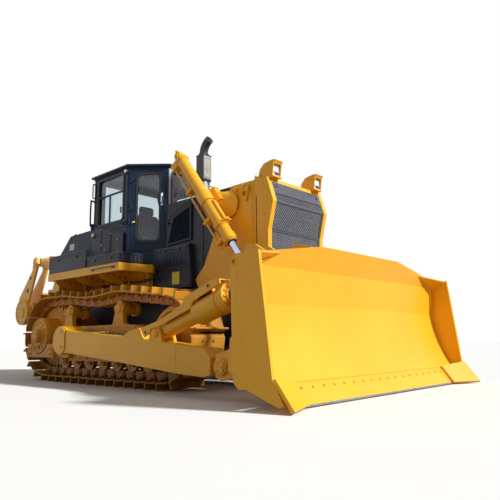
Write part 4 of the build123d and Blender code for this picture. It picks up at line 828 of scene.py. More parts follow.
def makeCabFront():
    # face of the front wall, pale as a painted reflection, its frame posts and slanted door posts'
    # edges
    shape = bmesh.new()
    place, length = wallView(2)
    inset, low, high = cab["windows"][1][1:]
    gap = 0.021
    window = roundRect(inset - gap, length - inset + gap, low - gap, high + gap,
                       cab["corner"] + gap)
    outer = roundRect(0.004, length - 0.004, 2.3, 3.35, 0.006)
    band(shape, outer, window, 0.0, 0.005, place)
    finishPiece("cabFrontFace", shape, palePaintedReflection, 0.0015)
    posts = bmesh.new()
    low, high = cab["floor"] + 0.02, cab["top"] - 0.01
    for index, inset, half, rise in ((1, 0.02, 0.014, 0.007), (3, 0.02, 0.014, 0.007),
                                     (0, 0.022, 0.016, 0.006), (4, 0.022, 0.016, 0.006)):
        place, length = wallView(index)
        for u in (inset, length - inset):
            block(posts, (u - half, low, 0.0), (u + half, high, rise), place)
    for index in (0, 4):
        place, length = wallView(index)
        block(posts, (0.04, 2.395, 0.0), (length - 0.04, 2.42, 0.006), place)
        # sliding window: a rail across and an upright between two lights
        low, high = cab["windows"][0][2:]
        rail = low + 0.62 * (high - low)
        block(posts, (0.145, rail - 0.014, -0.02), (length - 0.145, rail + 0.014, 0.002), place)
        block(posts, (length * 0.47 - 0.013, low + 0.014, -0.019),
              (length * 0.47 + 0.013, rail - 0.013, 0.001), place)
        block(posts, (length - 0.2, low + 0.12, -0.006), (length - 0.175, low + 0.22, 0.012), place)
    finishPiece("cabPosts", posts, navyEnamel)


def doorEdges(index, length):
    near, far = cab["latchSide"], cab["hingeSide"]
    left, right = (far, near) if index == 1 else (near, far)
    return (cab["doorIn"] + left, length - cab["doorIn"] - right, cab["doorLow"] + cab["windowLow"],
            cab["doorHigh"] - cab["windowHigh"])


def makeDoor(index, side):
    place, length = wallView(index)
    body = "door_" + side
    edges = doorEdges(index, length)
    rubber, chrome, fittings, brass = newShapes(4)
    gasket(rubber, place, edges, cab["doorCorner"], 0.018, 0.012)
    # the gasket bulges round the grip on the latch side
    u0, u1, v0, v1 = edges
    latch = length - cab["doorIn"] - 0.06 if index == 1 else cab["doorIn"] + 0.06
    toLatch = 1 if index == 1 else -1
    gripU = u1 if index == 1 else u0
    bulge = []
    for i in range(13):
        t = i / 12
        swell = 0.03 * math.sin(math.pi * t) ** 2
        bulge.append(place @ Vector((gripU + toLatch * (0.006 - swell), 2.66 + 0.34 * t, 0.008)))
    pipe(rubber, bulge, 0.011, 10)
    finishPiece("doorGasket" + side.capitalize(), rubber, blackRubberAndPaintedShade, body=body)
    grip = ((2.75, 0.004), (2.752, 0.036), (2.765, 0.046), (2.83, 0.047), (2.895, 0.046),
            (2.908, 0.036), (2.91, 0.004))
    pipe(chrome, [place @ Vector((latch, v, w)) for v, w in grip], 0.012, 14)
    prism(chrome, roundRect(latch - 0.02, latch + 0.02, 2.725, 2.935, 0.016), 0.0, 0.004, place)
    finishPiece("doorGrip" + side.capitalize(), chrome, hardChrome, 0.001, body)
    prism(fittings, roundRect(latch - 0.016, latch + 0.016, 2.56, 2.66, 0.008), 0.0, 0.012, place)
    hinge = cab["doorIn"] + 0.044 if index == 1 else length - cab["doorIn"] - 0.044
    boltRow(fittings, place, [(hinge + toLatch * 0.03, v + shift) for v in (3.155, 2.7)
                              for shift in (-0.018, 0.018)], 0.019, 0.007, False)
    # pressed rib round the door's lower panel
    ribOuter = roundRect(u0 - 0.02, u1 + 0.02, 2.025, 2.125, 0.02)
    ribInner = roundRect(u0 - 0.008, u1 + 0.008, 2.037, 2.113, 0.015)
    band(fittings, ribOuter, ribInner, 0.0, 0.004, place)
    finishPiece("doorFittings" + side.capitalize(), fittings, navyEnamel, 0.002, body)
    lock = cab["doorIn"] + 0.05 if index == 1 else length - cab["doorIn"] - 0.05
    lathe(brass, [(0, 0), (0.024, 0), (0.024, 0.01), (0.017, 0.016), (0.017, 0.028), (0.012, 0.032),
                  (0, 0.032)], shifted(place, lock, 2.45), 24)
    finishPiece("doorLock" + side.capitalize(), brass, brassKnob, 0.001, body)


def makeCabFittings():
    roof, lamps, lampGlass, rails, wipers = newShapes(5)
    # gutter below the brim, two round vents and the roof's bolts
    plan = [Vector(p) for p in cab["plan"]]
    for a, b in zip(plan, plan[1:] + plan[:1]):
        out = Vector(((b - a).y, -(b - a).x)).normalized() * 0.012
        rod(roof, (*(a + out), cab["top"] - 0.012), (*(b + out), cab["top"] - 0.012), 0.01, 10)
    for y in (-0.42, 0.42):
        rod(roof, (1.42, y, 3.4), (1.42, y, 3.445), 0.02)
        lathe(roof, [(0, 0), (0.03, 0), (0.034, 0.012), (0.022, 0.03), (0, 0.036)],
              Matrix.Translation((1.42, y, 3.435)), 20)
    boltRow(roof, planView, [(x, y) for x in (0.75, 1.95) for y in (-0.36, 0.36)], 3.421, 0.012)
    finishPiece("roofFittings", roof, navyEnamel, 0.002)
    for index in (0, 4):
        place, length = wallView(index)
        corner = length - 0.035 if index == 0 else 0.035
        spot = shifted(place, corner, 3.285)
        lathe(lamps, [(0, 0), (0.034, 0), (0.038, 0.03), (0.036, 0.042), (0.03, 0.044), (0, 0.044)],
              spot, 24)
        lathe(lampGlass, [(0, 0.04), (0.03, 0.04), (0.026, 0.052), (0, 0.058)], spot, 24)
    for sign in (-1, 1):
        # rear work lamps on short stalks behind the cab
        spot = axisView((0.5, sign * 0.8, 2.55), (0.4, sign * 0.98, 2.5))
        lathe(lamps, [(0, -0.06), (0.03, -0.055), (0.058, -0.01), (0.062, 0.03), (0.055, 0.032),
                      (0, 0.032)], spot, 28)
        lathe(lampGlass, [(0, 0.028), (0.054, 0.028), (0.048, 0.04), (0, 0.046)], spot, 28)
        bentPipe(lamps, [(0.52, 0.79, 2.38), (0.52, 0.8, 2.44), (0.5, 0.8, 2.52)], 0.012,
                 handed(sign))
    finishPiece("cabLampHousings", lamps, blackPlastic, 0.002)
    finishPiece("cabLampLenses", lampGlass, lensWithPaintedReflection, 0.002)
    lowRail = ((0.838, 2.965), (0.9, 2.972), (0.912, 2.955), (0.915, 2.75), (0.912, 2.565),
               (0.9, 2.548), (0.838, 2.555))
    highRail = ((0.838, 3.27), (0.872, 3.265), (0.876, 3.15), (0.872, 3.035), (0.838, 3.03))
    for sign in (-1, 1):
        # looped grab rail low at the rear corner and a small one above it
        for route, x, radius in ((lowRail, 0.612, 0.014), (highRail, 0.6, 0.01)):
            bentPipe(rails, [(x, y, z) for y, z in route], radius, handed(sign), 6)
        for z in (2.965, 2.555):
            rod(rails, (0.612, sign * 0.838, z), (0.612, sign * 0.846, z), 0.026)
        # latch block under the side window's lower front corner
        block(rails, (1.52, sign * 0.872 - 0.022, 2.43), (1.575, sign * 0.872 + 0.022, 2.5))
        rod(rails, (1.5, sign * 0.88, 2.478), (1.6, sign * 0.88, 2.478), 0.013)
        rod(rails, (1.53, sign * 0.88, 2.44), (1.53, sign * 0.915, 2.44), 0.012)
    finishPiece("cabGrabRails", rails, navyEnamel, 0.002, replaced=("grab_rails",))
    for index, start in ((2, 2.76), (5, 2.58)):
        place, length = wallView(index)
        mid = length / 2
        ends = [place @ Vector((mid, start, 0.014)),
                place @ Vector((mid - 0.2, start + 0.36, 0.014))]
        rod(wipers, ends[0], ends[1], 0.005, 8)
        rod(wipers, place @ Vector((mid - 0.24, start + 0.14, 0.008)),
            place @ Vector((mid - 0.16, start + 0.47, 0.008)), 0.007, 8)
        lathe(wipers, [(0, -0.01), (0.018, -0.01), (0.018, 0.018), (0.012, 0.024), (0, 0.024)],
              shifted(place, mid, start), 20)
    finishPiece("wipers", wipers, blackPlastic, 0.001)


makeWindowGaskets()
makeCabFront()
makeDoor(1, "right")
makeDoor(3, "left")
makeCabFittings()


# Inside: a sprung seat in cloth with armrests, two consoles, a screen and pedals
chair = {"cushion": ((0.955, -0.255, 2.085), (1.47, 0.255, 2.205)), "back": (1.045, 2.185),
         "backTop": (0.955, 2.8), "backLong": 0.62, "backHalf": 0.245, "taper": 0.05,
         "headrest": ((0.885, -0.14, 2.81), (0.975, 0.14, 2.955)), "armrestY": (0.268, 0.34),
         "armrestX": (0.985, 1.4), "armrestZ": (2.325, 2.385), "cuts": 10, "rows": 14,
         "columns": 12, "seamAt": 0.55, "seamWide": 0.05, "seamDeep": 0.007, "fill": 0.8}


def softBlock(name, low, high, corner, crown=0.02):
    shape = bmesh.new()
    size = Vector(high) - Vector(low)
    mid = (Vector(high) + Vector(low)) / 2
    bmesh.ops.create_cube(shape, size=2.0)
    bmesh.ops.subdivide_edges(shape, edges=shape.edges, cuts=chair["cuts"], use_grid_fill=True)
    for vert in shape.verts:
        p = vert.co.copy()
        inner = Vector([max(-1 + 2 * corner / s, min(1 - 2 * corner / s, c))
                        for c, s in zip(p, size)])
        offset = Vector([(c - i) * s / 2 for c, i, s in zip(p, inner, size)])
        if offset.length > 0:
            offset = offset.normalized() * corner
        spot = Vector([i * s / 2 for i, s in zip(inner, size)]) + offset
        swell = crown * (1 - p.x ** 2) * (1 - p.y ** 2)
        spot.z += swell * (1 if p.z > 0 else 0)
        # seams across the pad draw the cloth in
        across = (abs(p.y) - chair["seamAt"]) / chair["seamWide"]
        spot.z -= chair["seamDeep"] * math.exp(-across ** 2) * (1 if p.z > 0.5 else 0)
        vert.co = spot + mid
    finishPiece(name, shape, polyesterCloth, 0)


def makeSeat(g):
    softBlock("seatCushion", *g["cushion"], 0.035)
    back, base = newShapes(2)
    place = axisView((g["back"][0], 0, g["back"][1]), (g["backTop"][0], 0, g["backTop"][1]))
    rows, columns = g["rows"], g["columns"]
    grid = []
    for side in (0, 1):
        face = []
        for i in range(rows + 1):
            line = []
            for j in range(columns + 1):
                v = 2 * j / columns - 1
                t = i / rows
                half = g["backHalf"] - g["taper"] * t ** 3
                bolster = 0.03 * abs(v) ** 3 + 0.012 * math.sin(math.pi * t)
                edge = 0.035 * (abs(v) ** 8 + (2 * t - 1) ** 8)
                depth = 0.055 + bolster - edge if side == 0 else -0.045 + edge
                line.append(back.verts.new(place @ Vector((half * v, -depth, g["backLong"] * t))))
            face.append(line)
        grid.append(face)
    for side, face in enumerate(grid):
        for a, b in zip(face, face[1:]):
            for j in range(columns):
                back.faces.new((a[j], a[j + 1], b[j + 1], b[j]))
    rims = [edge for edge in back.edges if edge.is_boundary]
    bmesh.ops.bridge_loops(back, edges=rims)
    finishPiece("seatBack", back, polyesterCloth, 0)
    softBlock("seatHeadrest", *g["headrest"], 0.03, 0.004)
    prism(base, roundRect(1.03, 1.37, -0.18, 0.18, 0.03), 1.742, 1.8)
    for k in range(7):
        low = 1.8 + 0.035 * k
        prism(base, roundRect(1.045 + 0.008 * (k % 2), 1.355 - 0.008 * (k % 2), -0.17, 0.17, 0.03),
              low, low + 0.035)
    prism(base, roundRect(0.985, 1.44, -0.235, 0.235, 0.03), 2.045, 2.092)
    for sign in (-1, 1):
        prism(base, [(1.0, 2.06), (1.05, 2.06), (1.05, 2.33), (1.0, 2.33)], 0.272, 0.292,
              handed(sign, sideView))
        rod(base, (0.9, sign * 0.085, 2.76), (0.93, sign * 0.085, 2.86), 0.007, 10)
        bentPipe(base, [(1.02, 0.1, 2.1), (0.985, 0.19, 2.14), (0.975, 0.215, 2.2)], 0.012,
                 handed(sign))
    finishPiece("seatBase", base, blackPlastic, replaced=("seat",))
    (x0, x1), (z0, z1) = g["armrestX"], g["armrestZ"]
    for side, sign in reversed(bothSides):
        y0, y1 = sorted(sign * y for y in g["armrestY"])
        softBlock("seatArmrest" + side.capitalize(), (x0, y0, z0), (x1, y1, z1), 0.022, 0.004)


def makeControls():
    shape, rubber, screen = newShapes(3)
    prism(shape, [(1.86, 1.742), (1.985, 1.742), (1.985, 2.585), (1.905, 2.655), (1.815, 2.575),
                  (1.8, 2.5), (1.86, 2.3)], -0.325, 0.325, sideView)
    place = axisView((1.852, 0, 2.62), (1.802, 0, 2.7))
    prism(shape, roundRect(-0.15, 0.15, -0.04, 0.05, 0.012), 0.0, 0.02, place)
    prism(screen, roundRect(-0.13, 0.13, -0.032, 0.042, 0.006), 0.019, 0.022, place)
    for sign in (-1, 1):
        view = handed(sign, sideView)
        prism(shape, [(1.055, 1.742), (1.56, 1.742), (1.56, 2.24), (1.5, 2.325), (1.055, 2.325)],
              0.385, 0.515, view)
        rod(shape, (1.48, sign * 0.45, 2.32), (1.53, sign * 0.45, 2.5), 0.01)
        grip = handed(sign, axisView((1.515, 0.45, 2.46), (1.55, 0.45, 2.6)))
        lathe(rubber, [(0, 0), (0.02, 0), (0.026, 0.03), (0.022, 0.07), (0.03, 0.1), (0.026, 0.13),
                       (0, 0.14)], grip, 20)
        boot = handed(sign, axisView((1.477, 0.45, 2.318), (1.5, 0.45, 2.4)))
        lathe(rubber, [(0, 0), (0.055, 0), (0.05, 0.012), (0.036, 0.016), (0.04, 0.028),
                       (0.024, 0.034), (0.027, 0.046), (0.012, 0.052), (0, 0.052)], boot, 24)
        for k in range(4):
            y = sign * (0.415 + 0.018 * (k % 2))
            block(shape, (1.14 + 0.06 * k, y - 0.007, 2.325), (1.17 + 0.06 * k, y + 0.007, 2.333))
    for y in (-0.17, 0.0, 0.17):
        prism(rubber, [(1.72, 1.8), (1.74, 1.79), (1.83, 1.93), (1.81, 1.94)], y - 0.045, y + 0.045,
              sideView)
        rod(shape, (1.77, y, 1.87), (1.862, y, 1.99), 0.009, 10)
    prism(rubber, roundRect(0.7, 1.84, -0.6, 0.6, 0.03), 1.741, 1.752)
    finishPiece("consoles", shape, blackPlastic, 0.004, replaced=("controls",))
    finishPiece("consoleRubber", rubber, blackRubberAndPaintedShade, 0.002)
    finishPiece("consoleScreen", screen, screenGlass, 0.001)


makeSeat(chair)
makeControls()
print("cab ready")

# Hood sides: the tall bolted panel, the finned intake with its sloping rail, the lower panel
hoodSide = {"y": 0.572, "coverY": 0.66, "top": 2.68, "boltZ": (1.7, 1.96, 2.24, 2.52),
            "intake": ((2.26, 2.02), (2.82, 2.06), (2.82, 2.58), (2.4, 2.44)), "fins": 15,
            "intakeInside": ((2.3, 2.05), (2.795, 2.085), (2.795, 2.55), (2.42, 2.42)),
            "rail": ((2.27, 0.617, 2.34), (2.4, 0.62, 2.475), (2.62, 0.62, 2.565),
                     (2.86, 0.617, 2.655)),
            "coverBolts": ((2.09, 1.405), (2.85, 1.405), (2.803, 1.95), (2.09, 1.95), (2.47, 1.95)),
            "label": (2.485, 2.645, 1.405, 1.6), "louvres": 6, "louvreX": 2.31, "louvreStep": 0.085}


def makeHoodSides(g):
    panels, dark, fins, fixings, label = newShapes(5)
    for sign in (-1, 1):
        place = handed(sign, sideView)
        y = g["y"]
        # tall panel behind the slanted joint, with a long slot and four bolts on its front edge
        prism(panels, [(2.905, 1.34), (2.925, 1.46), (3.055, 1.6), (3.055, 2.6), (2.965, 2.6),
                       (2.905, 2.6)], y, y + 0.01, place)
        prism(panels, [(3.085, 1.66), (3.235, 1.985), (3.52, 2.5), (3.52, 2.62), (3.085, 2.62)], y,
              y + 0.006, place)
        # the slots are dark sheets: painted shade
        prism(dark, roundRect(2.86, 2.888, 2.06, 2.43, 0.008), y, y + 0.003, place)
        prism(dark, roundRect(3.064, 3.078, 1.66, 2.58, 0.006), y, y + 0.002, place)
        boltRow(fixings, place, [(2.985, z) for z in g["boltZ"]], y + 0.01, 0.013)
        boltRow(fixings, place, [(3.12, z + 0.02) for z in g["boltZ"]], y + 0.006, 0.009)
        # finned intake in a leaning frame, under a black rail that slopes up to the front
        band(panels, g["intake"], g["intakeInside"], y, y + 0.03, place)
        for k in range(g["fins"]):
            t = (k + 0.5) / g["fins"]
            low = 2.05 + 0.035 * t
            x = 2.305 + 0.49 * t
            high = min(2.55, 2.05 + (x - 2.3) * 3.0, 2.42 + (x - 2.42) * 0.347)
            if high > low + 0.03:
                prism(fins, [(x - 0.01, low), (x - 0.004, low), (x - 0.004, high),
                             (x - 0.01, high)], y, y + 0.022, place)
        # the intake's inside is a dark sheet: painted shade behind the fins
        prism(dark, g["intakeInside"], y, y + 0.002, place)
        bentPipe(fixings, g["rail"], 0.011, handed(sign))
        for x, z in ((2.3, 2.37), (2.84, 2.645)):
            rod(fixings, (x, sign * y, z), (x, sign * (y + 0.05), z), 0.012)
        # lower cover: pressed edge, corner bolts, two clips and a blank label
        cover = g["coverY"]
        edge = [(2.075, 1.39), (2.865, 1.39), (2.865, 1.555), (2.818, 1.965), (2.075, 1.965)]
        inside = [(2.105, 1.42), (2.835, 1.42), (2.835, 1.55), (2.792, 1.935), (2.105, 1.935)]
        band(panels, edge, inside, cover, cover + 0.007, place)
        block(panels, (2.105, 1.655, cover), (2.83, 1.668, cover + 0.004), place)
        boltRow(fixings, place, g["coverBolts"], cover + 0.007, 0.01)
        for x in (2.3, 2.62):
            block(fixings, (x - 0.03, 1.925, cover + 0.002), (x + 0.03, 1.952, cover + 0.02), place)
        prism(label, roundRect(*g["label"], 0.006), cover + 0.0005, cover + 0.0025, place)
        # louvres in the side of the engine room below the intake
        for k in range(g["louvres"]):
            x = g["louvreX"] + g["louvreStep"] * k
            block(fins, (x, 1.7, cover), (x + 0.05, 1.9, cover + 0.005), place)
    # top of the hood: a raised lid with hinges, seams and a filler cap
    prism(panels, roundRect(2.74, 3.5, -0.42, 0.42, 0.03), g["top"] - 0.001, g["top"] + 0.01)
    prism(panels, roundRect(2.28, 2.5, -0.4, 0.02, 0.02), g["top"] - 0.001, g["top"] + 0.008)
    lathe(panels, [(0, 0), (0.062, 0), (0.062, 0.022), (0.05, 0.032), (0, 0.034)],
          Matrix.Translation((2.42, 0.25, g["top"])), 28)
    for y in (-0.3, 0.3):
        rod(fixings, (2.735, y - 0.05, g["top"] + 0.012), (2.735, y + 0.05, g["top"] + 0.012), 0.01)
        bolt(fixings, (3.45, y, g["top"] + 0.01), (0, 0, 1), 0.011)
    finishPiece("hoodPanels", panels, charcoalEnamel)
    finishPiece("hoodSlots", dark, blackRubberAndPaintedShade, 0)
    finishPiece("intakeFins", fins, navyEnamel, 0.0012)
    finishPiece("hoodFixings", fixings, blackPipe, 0.0015)
    finishPiece("blankLabels", label, labelYellow, 0)


makeHoodSides(hoodSide)

# Fenders: long edge slot, small holes, web ribs, hoses and a grip pattern on the walkways
fender = {"edge": 1.35, "top": 1.72, "web": 0.695, "ribs": (0.16, 0.85, 1.49),
          "slot": (1.42, 2.06, 1.65, 1.686), "holes": 5, "holeStep": 0.085, "webHoles": 18,
          "webHoleStep": 0.105, "dots": 20, "dotRows": 3, "dotStep": 0.026,
          "hose": ((0.36, 0.76, 1.5), (0.62, 0.8, 1.53), (0.98, 0.79, 1.5), (1.4, 0.8, 1.53),
                   (1.85, 0.79, 1.5), (2.22, 0.77, 1.54))}


def makeFenders(g):
    metal, dark, hose = newShapes(3)
    for sign in (-1, 1):
        place = handed(sign, sideView)
        y = g["edge"]
        # long slot near the front, with a bright inner lip, and pairs of small holes behind it
        slot = roundRect(*g["slot"], 0.017)
        # the slot and the small holes are dark sheets and discs: painted shade
        prism(dark, slot, y - 0.001, y + 0.0015, place)
        band(metal, roundRect(1.408, 2.072, 1.642, 1.694, 0.022), slot, y, y + 0.005, place)
        block(metal, (1.52, 1.653, y), (1.96, 1.668, y + 0.003), place)
        for k in range(g["holes"]):
            disc(dark, 0.009, y - 0.001, y + 0.0015,
                 shifted(place, 0.18 + g["holeStep"] * k, 1.655), 16)
        block(metal, (0.1, 1.714, y - 0.03), (2.15, 1.724, y + 0.004), place)
        block(metal, (0.1, 1.606, y - 0.034), (2.14, 1.616, y + 0.003), place)
        web = g["web"]
        # the holes in the ribs and in the web are dark discs: painted shade
        for x in g["ribs"]:
            for k in range(g["holes"]):
                disc(dark, 0.013, x - 0.0015, x + 0.0155,
                     shifted(handed(sign, frontView), web + 0.1 + 0.1 * k, 1.59 + 0.012 * k), 16)
            block(metal, (x - 0.02, 1.482, web), (x + 0.05, 1.6, web + 0.028), place)
        for k in range(g["webHoles"]):
            x = 0.38 + g["webHoleStep"] * k
            for row in (0, 1):
                disc(dark, 0.0095, 0.719, 0.7222, shifted(place, x + 0.05 * row, 1.5 + 0.06 * row),
                     12)
        bentPipe(hose, g["hose"], 0.017, handed(sign))
        for x in (0.8, 1.62):
            ring(metal, handed(sign, axisView((x, 0.795, 1.512), (x + 0.03, 0.795, 1.512))), 0.026,
                 0.017, -0.015, 0.015, 20)
            block(metal, (x - 0.015, 1.5, 0.719), (x + 0.015, 1.526, 0.775), place)
        # raised grip dots on the walkway ahead of the boxes and beside the cab
        for i in range(g["dots"]):
            for j in range(g["dotRows"]):
                spot = (1.66 + g["dotStep"] * i, sign * (0.74 + 0.05 * j + 0.02 * (i % 2)),
                        g["top"])
                lathe(metal, [(0, -0.001), (0.008, -0.001), (0.006, 0.004), (0, 0.004)],
                      Matrix.Translation(spot), 8)
        boltRow(metal, planView, ((0.22, sign * 0.82), (2.18, sign * 0.82)), g["top"], 0.013)
    finishPiece("fenderRibs", metal, yellowEnamel, 0.0025)
    finishPiece("fenderHoles", dark, blackRubberAndPaintedShade, 0)
    finishPiece("fenderHoses", hose, blackRubberAndPaintedShade, 0)


makeFenders(fender)

# Side boxes: lids, latches, hinges, the slotted front end and the cabinet against the cab
boxes = {"rear": (0.11, 1.26, 1.72, 2.0), "front": (1.29, 2.14, 1.72, 1.872), "edge": 1.345,
         "inner": 0.93, "slots": 5, "slotStep": 0.069,
         "cabinetBolts": ((0.985, 2.16), (1.075, 2.08), (1.235, 2.32), (1.43, 2.2), (1.43, 2.02))}


def makeBoxes(g):
    lids, fixings, slots, fittings = newShapes(4)
    for sign in (-1, 1):
        place = handed(sign, sideView)
        edge = g["edge"]
        for key, inner in (("rear", 0.91), ("front", 0.935)):
            x0, x1, z0, z1 = g[key]
            band(lids, roundRect(x0 + 0.012, x1 - 0.012, z0 + 0.012, z1 - 0.034, 0.012),
                 roundRect(x0 + 0.03, x1 - 0.03, z0 + 0.03, z1 - 0.052, 0.008), edge, edge + 0.004,
                 place)
            block(lids, (x0 - 0.004, z1 - 0.02, edge - 0.02),
                  (x1 + 0.004, z1 + 0.004, edge + 0.006), place)
            prism(lids, roundRect(x0 - 0.004, x1 + 0.004, inner, edge + 0.005, 0.01), z1 - 0.002,
                  z1 + 0.008, handed(sign))
            for share in (0.25, 0.75):
                x = x0 + share * (x1 - x0)
                prism(fixings, roundRect(x - 0.028, x + 0.028, z1 - 0.085, z1 - 0.045, 0.006), edge,
                      edge + 0.008, place)
                rod(fixings, (x - 0.02, sign * (edge + 0.012), z1 - 0.06),
                    (x + 0.02, sign * (edge + 0.012), z1 - 0.06), 0.006, 10)
                rod(fixings, (x - 0.03, sign * (inner + 0.012), z1 + 0.01),
                    (x + 0.03, sign * (inner + 0.012), z1 + 0.01), 0.008, 10)
        # five upright slots in the front box's end, between two bolted strips
        face = shifted(handed(sign, frontView), 0, 0, g["front"][1])
        low, high = g["front"][2], g["front"][3]
        # each slot is a dark sheet: painted shade
        for k in range(g["slots"]):
            v = g["inner"] + 0.07 + g["slotStep"] * k
            prism(slots, roundRect(v - 0.02, v + 0.02, low + 0.028, high - 0.03, 0.014), 0.001,
                  0.006, face)
            prism(lids, roundRect(v + 0.028, v + 0.042, low + 0.022, high - 0.024, 0.006), 0, 0.016,
                  face)
        for v0, v1 in ((low + 0.004, low + 0.022), (high - 0.024, high - 0.006)):
            prism(lids, roundRect(g["inner"] + 0.01, edge - 0.008, v0, v1, 0.004), 0, 0.007, face)
        boltRow(fixings, face, [(v, z) for v in (g["inner"] + 0.03, edge - 0.03)
                                for z in (low + 0.03, high - 0.03)], 0.004, 0.013)
        # cabinet doors with a joint, small bolts, and the tall gap behind, a dark sheet of painted
        # shade, with two fittings
        band(lids, [(0.945, 2.01), (0.945, 2.432), (1.215, 2.37), (1.215, 2.01)],
             [(0.962, 2.025), (0.962, 2.412), (1.2, 2.358), (1.2, 2.025)], 0.905, 0.911, place)
        band(lids, [(1.228, 1.88), (1.228, 2.366), (1.525, 2.298), (1.525, 1.88)],
             [(1.243, 1.895), (1.243, 2.348), (1.51, 2.287), (1.51, 1.895)], 0.905, 0.911, place)
        boltRow(fittings, place, g["cabinetBolts"], 0.908, 0.01)
        block(slots, (0.575, 2.004, 0.846), (0.93, 2.46, 0.858), place)
        lathe(fittings, [(0, 0.856), (0.04, 0.856), (0.04, 0.88), (0.03, 0.892), (0, 0.894)],
              shifted(place, 0.65, 2.372), 24)
        rod(fittings, (0.76, sign * 0.9, 2.004), (0.76, sign * 0.9, 2.085), 0.034, 20)
    finishPiece("boxLids", lids, charcoalEnamel)
    finishPiece("boxFixings", fixings, charcoalEnamel, 0.001)
    finishPiece("boxSlots", slots, blackRubberAndPaintedShade, 0)
    finishPiece("cabinetFittings", fittings, aluminisedSteel, 0.001)


makeBoxes(boxes)

# Fuel tank: welded seams, filler caps, bare pale labels, rails and a step behind
tank = {"half": 0.8, "capX": -0.06, "capY": (-0.5, 0.48), "capZ": 2.492, "grips": 10,
        "outline": ((-0.6, 1.722), (-0.6, 2.15), (-0.22, 2.48), (0.56, 2.5), (0.4, 1.99),
                    (0.4, 1.722)),
        "middle": (-0.06, 2.05), "seamY": (-0.8, -0.27, 0.27, 0.788),
        "label": (-0.235, -0.08, 2.225, 2.335),
        "bolts": ((-0.56, 1.76), (-0.56, 2.1), (0.36, 1.76), (0.5, 2.44), (-0.2, 2.43)),
        "rail": ((-0.585, 0.7, 2.155), (-0.64, 0.7, 2.2), (-0.42, 0.7, 2.4), (-0.245, 0.7, 2.53),
                 (-0.2, 0.7, 2.48))}


def makeTank(g):
    metal, pale, yellow, steps = newShapes(4)
    middle = Vector(g["middle"])
    corners = [Vector(p) for p in g["outline"]]
    outer = [p + (p - middle).normalized() * 0.006 for p in corners]
    inner = [p + (middle - p).normalized() * 0.012 for p in corners]
    for y in g["seamY"]:
        band(metal, outer, inner, y, y + 0.012, sideView)
    for y in g["capY"]:
        lathe(metal, [(0, 0), (0.085, 0), (0.085, 0.014), (0.074, 0.02), (0.074, 0.075),
                      (0.064, 0.088), (0, 0.09)], Matrix.Translation((g["capX"], y, g["capZ"])), 32)
        for k in range(g["grips"]):
            a = 2 * math.pi * k / g["grips"]
            spot = Vector((g["capX"] + 0.074 * math.cos(a), y + 0.074 * math.sin(a), g["capZ"]))
            rod(metal, spot + Vector((0, 0, 0.022)), spot + Vector((0, 0, 0.072)), 0.006, 8)
    for sign in (-1, 1):
        place = handed(sign, sideView)
        prism(pale, roundRect(*g["label"], 0.008), g["half"] + 0.0005, g["half"] + 0.003, place)
        band(metal, roundRect(-0.5, 0.37, 1.78, 2.08, 0.03),
             roundRect(-0.485, 0.355, 1.795, 2.065, 0.02), g["half"], g["half"] + 0.004, place)
        boltRow(metal, place, g["bolts"], g["half"], 0.011)
        lathe(yellow, [(0, 0), (0.04, 0), (0.04, 0.03), (0.03, 0.042), (0, 0.044)],
              Matrix.Translation((-0.36, sign * 0.62, 2.352))
              @ Matrix.Rotation(math.radians(-41), 4, "Y"), 24)
        # grab loop down the slanted back
        bentPipe(steps, g["rail"], 0.013, handed(sign))
    rod(metal, (0.3, -0.4, 2.495), (0.3, -0.4, 2.56), 0.01)
    block(steps, (-0.66, -0.2, 1.84), (-0.6, 0.2, 1.87))
    for y in (-0.19, 0.19):
        block(steps, (-0.655, y - 0.012, 1.82), (-0.6, y + 0.012, 1.9))
    finishPiece("tankSeams", metal, navyEnamel, 0.002)
    finishPiece("tankLabels", pale, labelPale, 0)
    finishPiece("tankCaps", yellow, yellowEnamel, 0.002)
    finishPiece("tankRails", steps, navyEnamel, 0.002)


makeTank(tank)
print("body ready")

# Running gear: bolts, caps and covers on the frames, wheels and rollers
gear = {"axleZ": 0.72, "hubFace": 1.4, "frameFace": 1.27, "rollerX": 0.52, "rollerStep": 0.36,
        "rollers": 7, "carriers": ((0.68, 1.09), (2.05, 1.08)), "idler": (3.15, 0.642),
        "rollerBolts": ((-0.055, 0.435, 0.012), (-0.055, 0.312, 0.009),
                        (0.055, 0.435, 0.012), (0.055, 0.312, 0.009)),
        "toothBolts": 27, "sprocketBoltR": 0.445,
        "boxBolts": ((3.098, 0.56), (3.098, 0.73), (2.45, 0.56), (2.45, 0.76)),
        "coverX": (1.78, 1.94, 2.1, 2.26, 2.42), "coverZ": (0.608, 0.752),
        "trunnion": (1.25, 0.64), "edgeBolts": 9, "edgeStep": 0.2, "innerFace": 0.856,
        "innerBolts": 7}


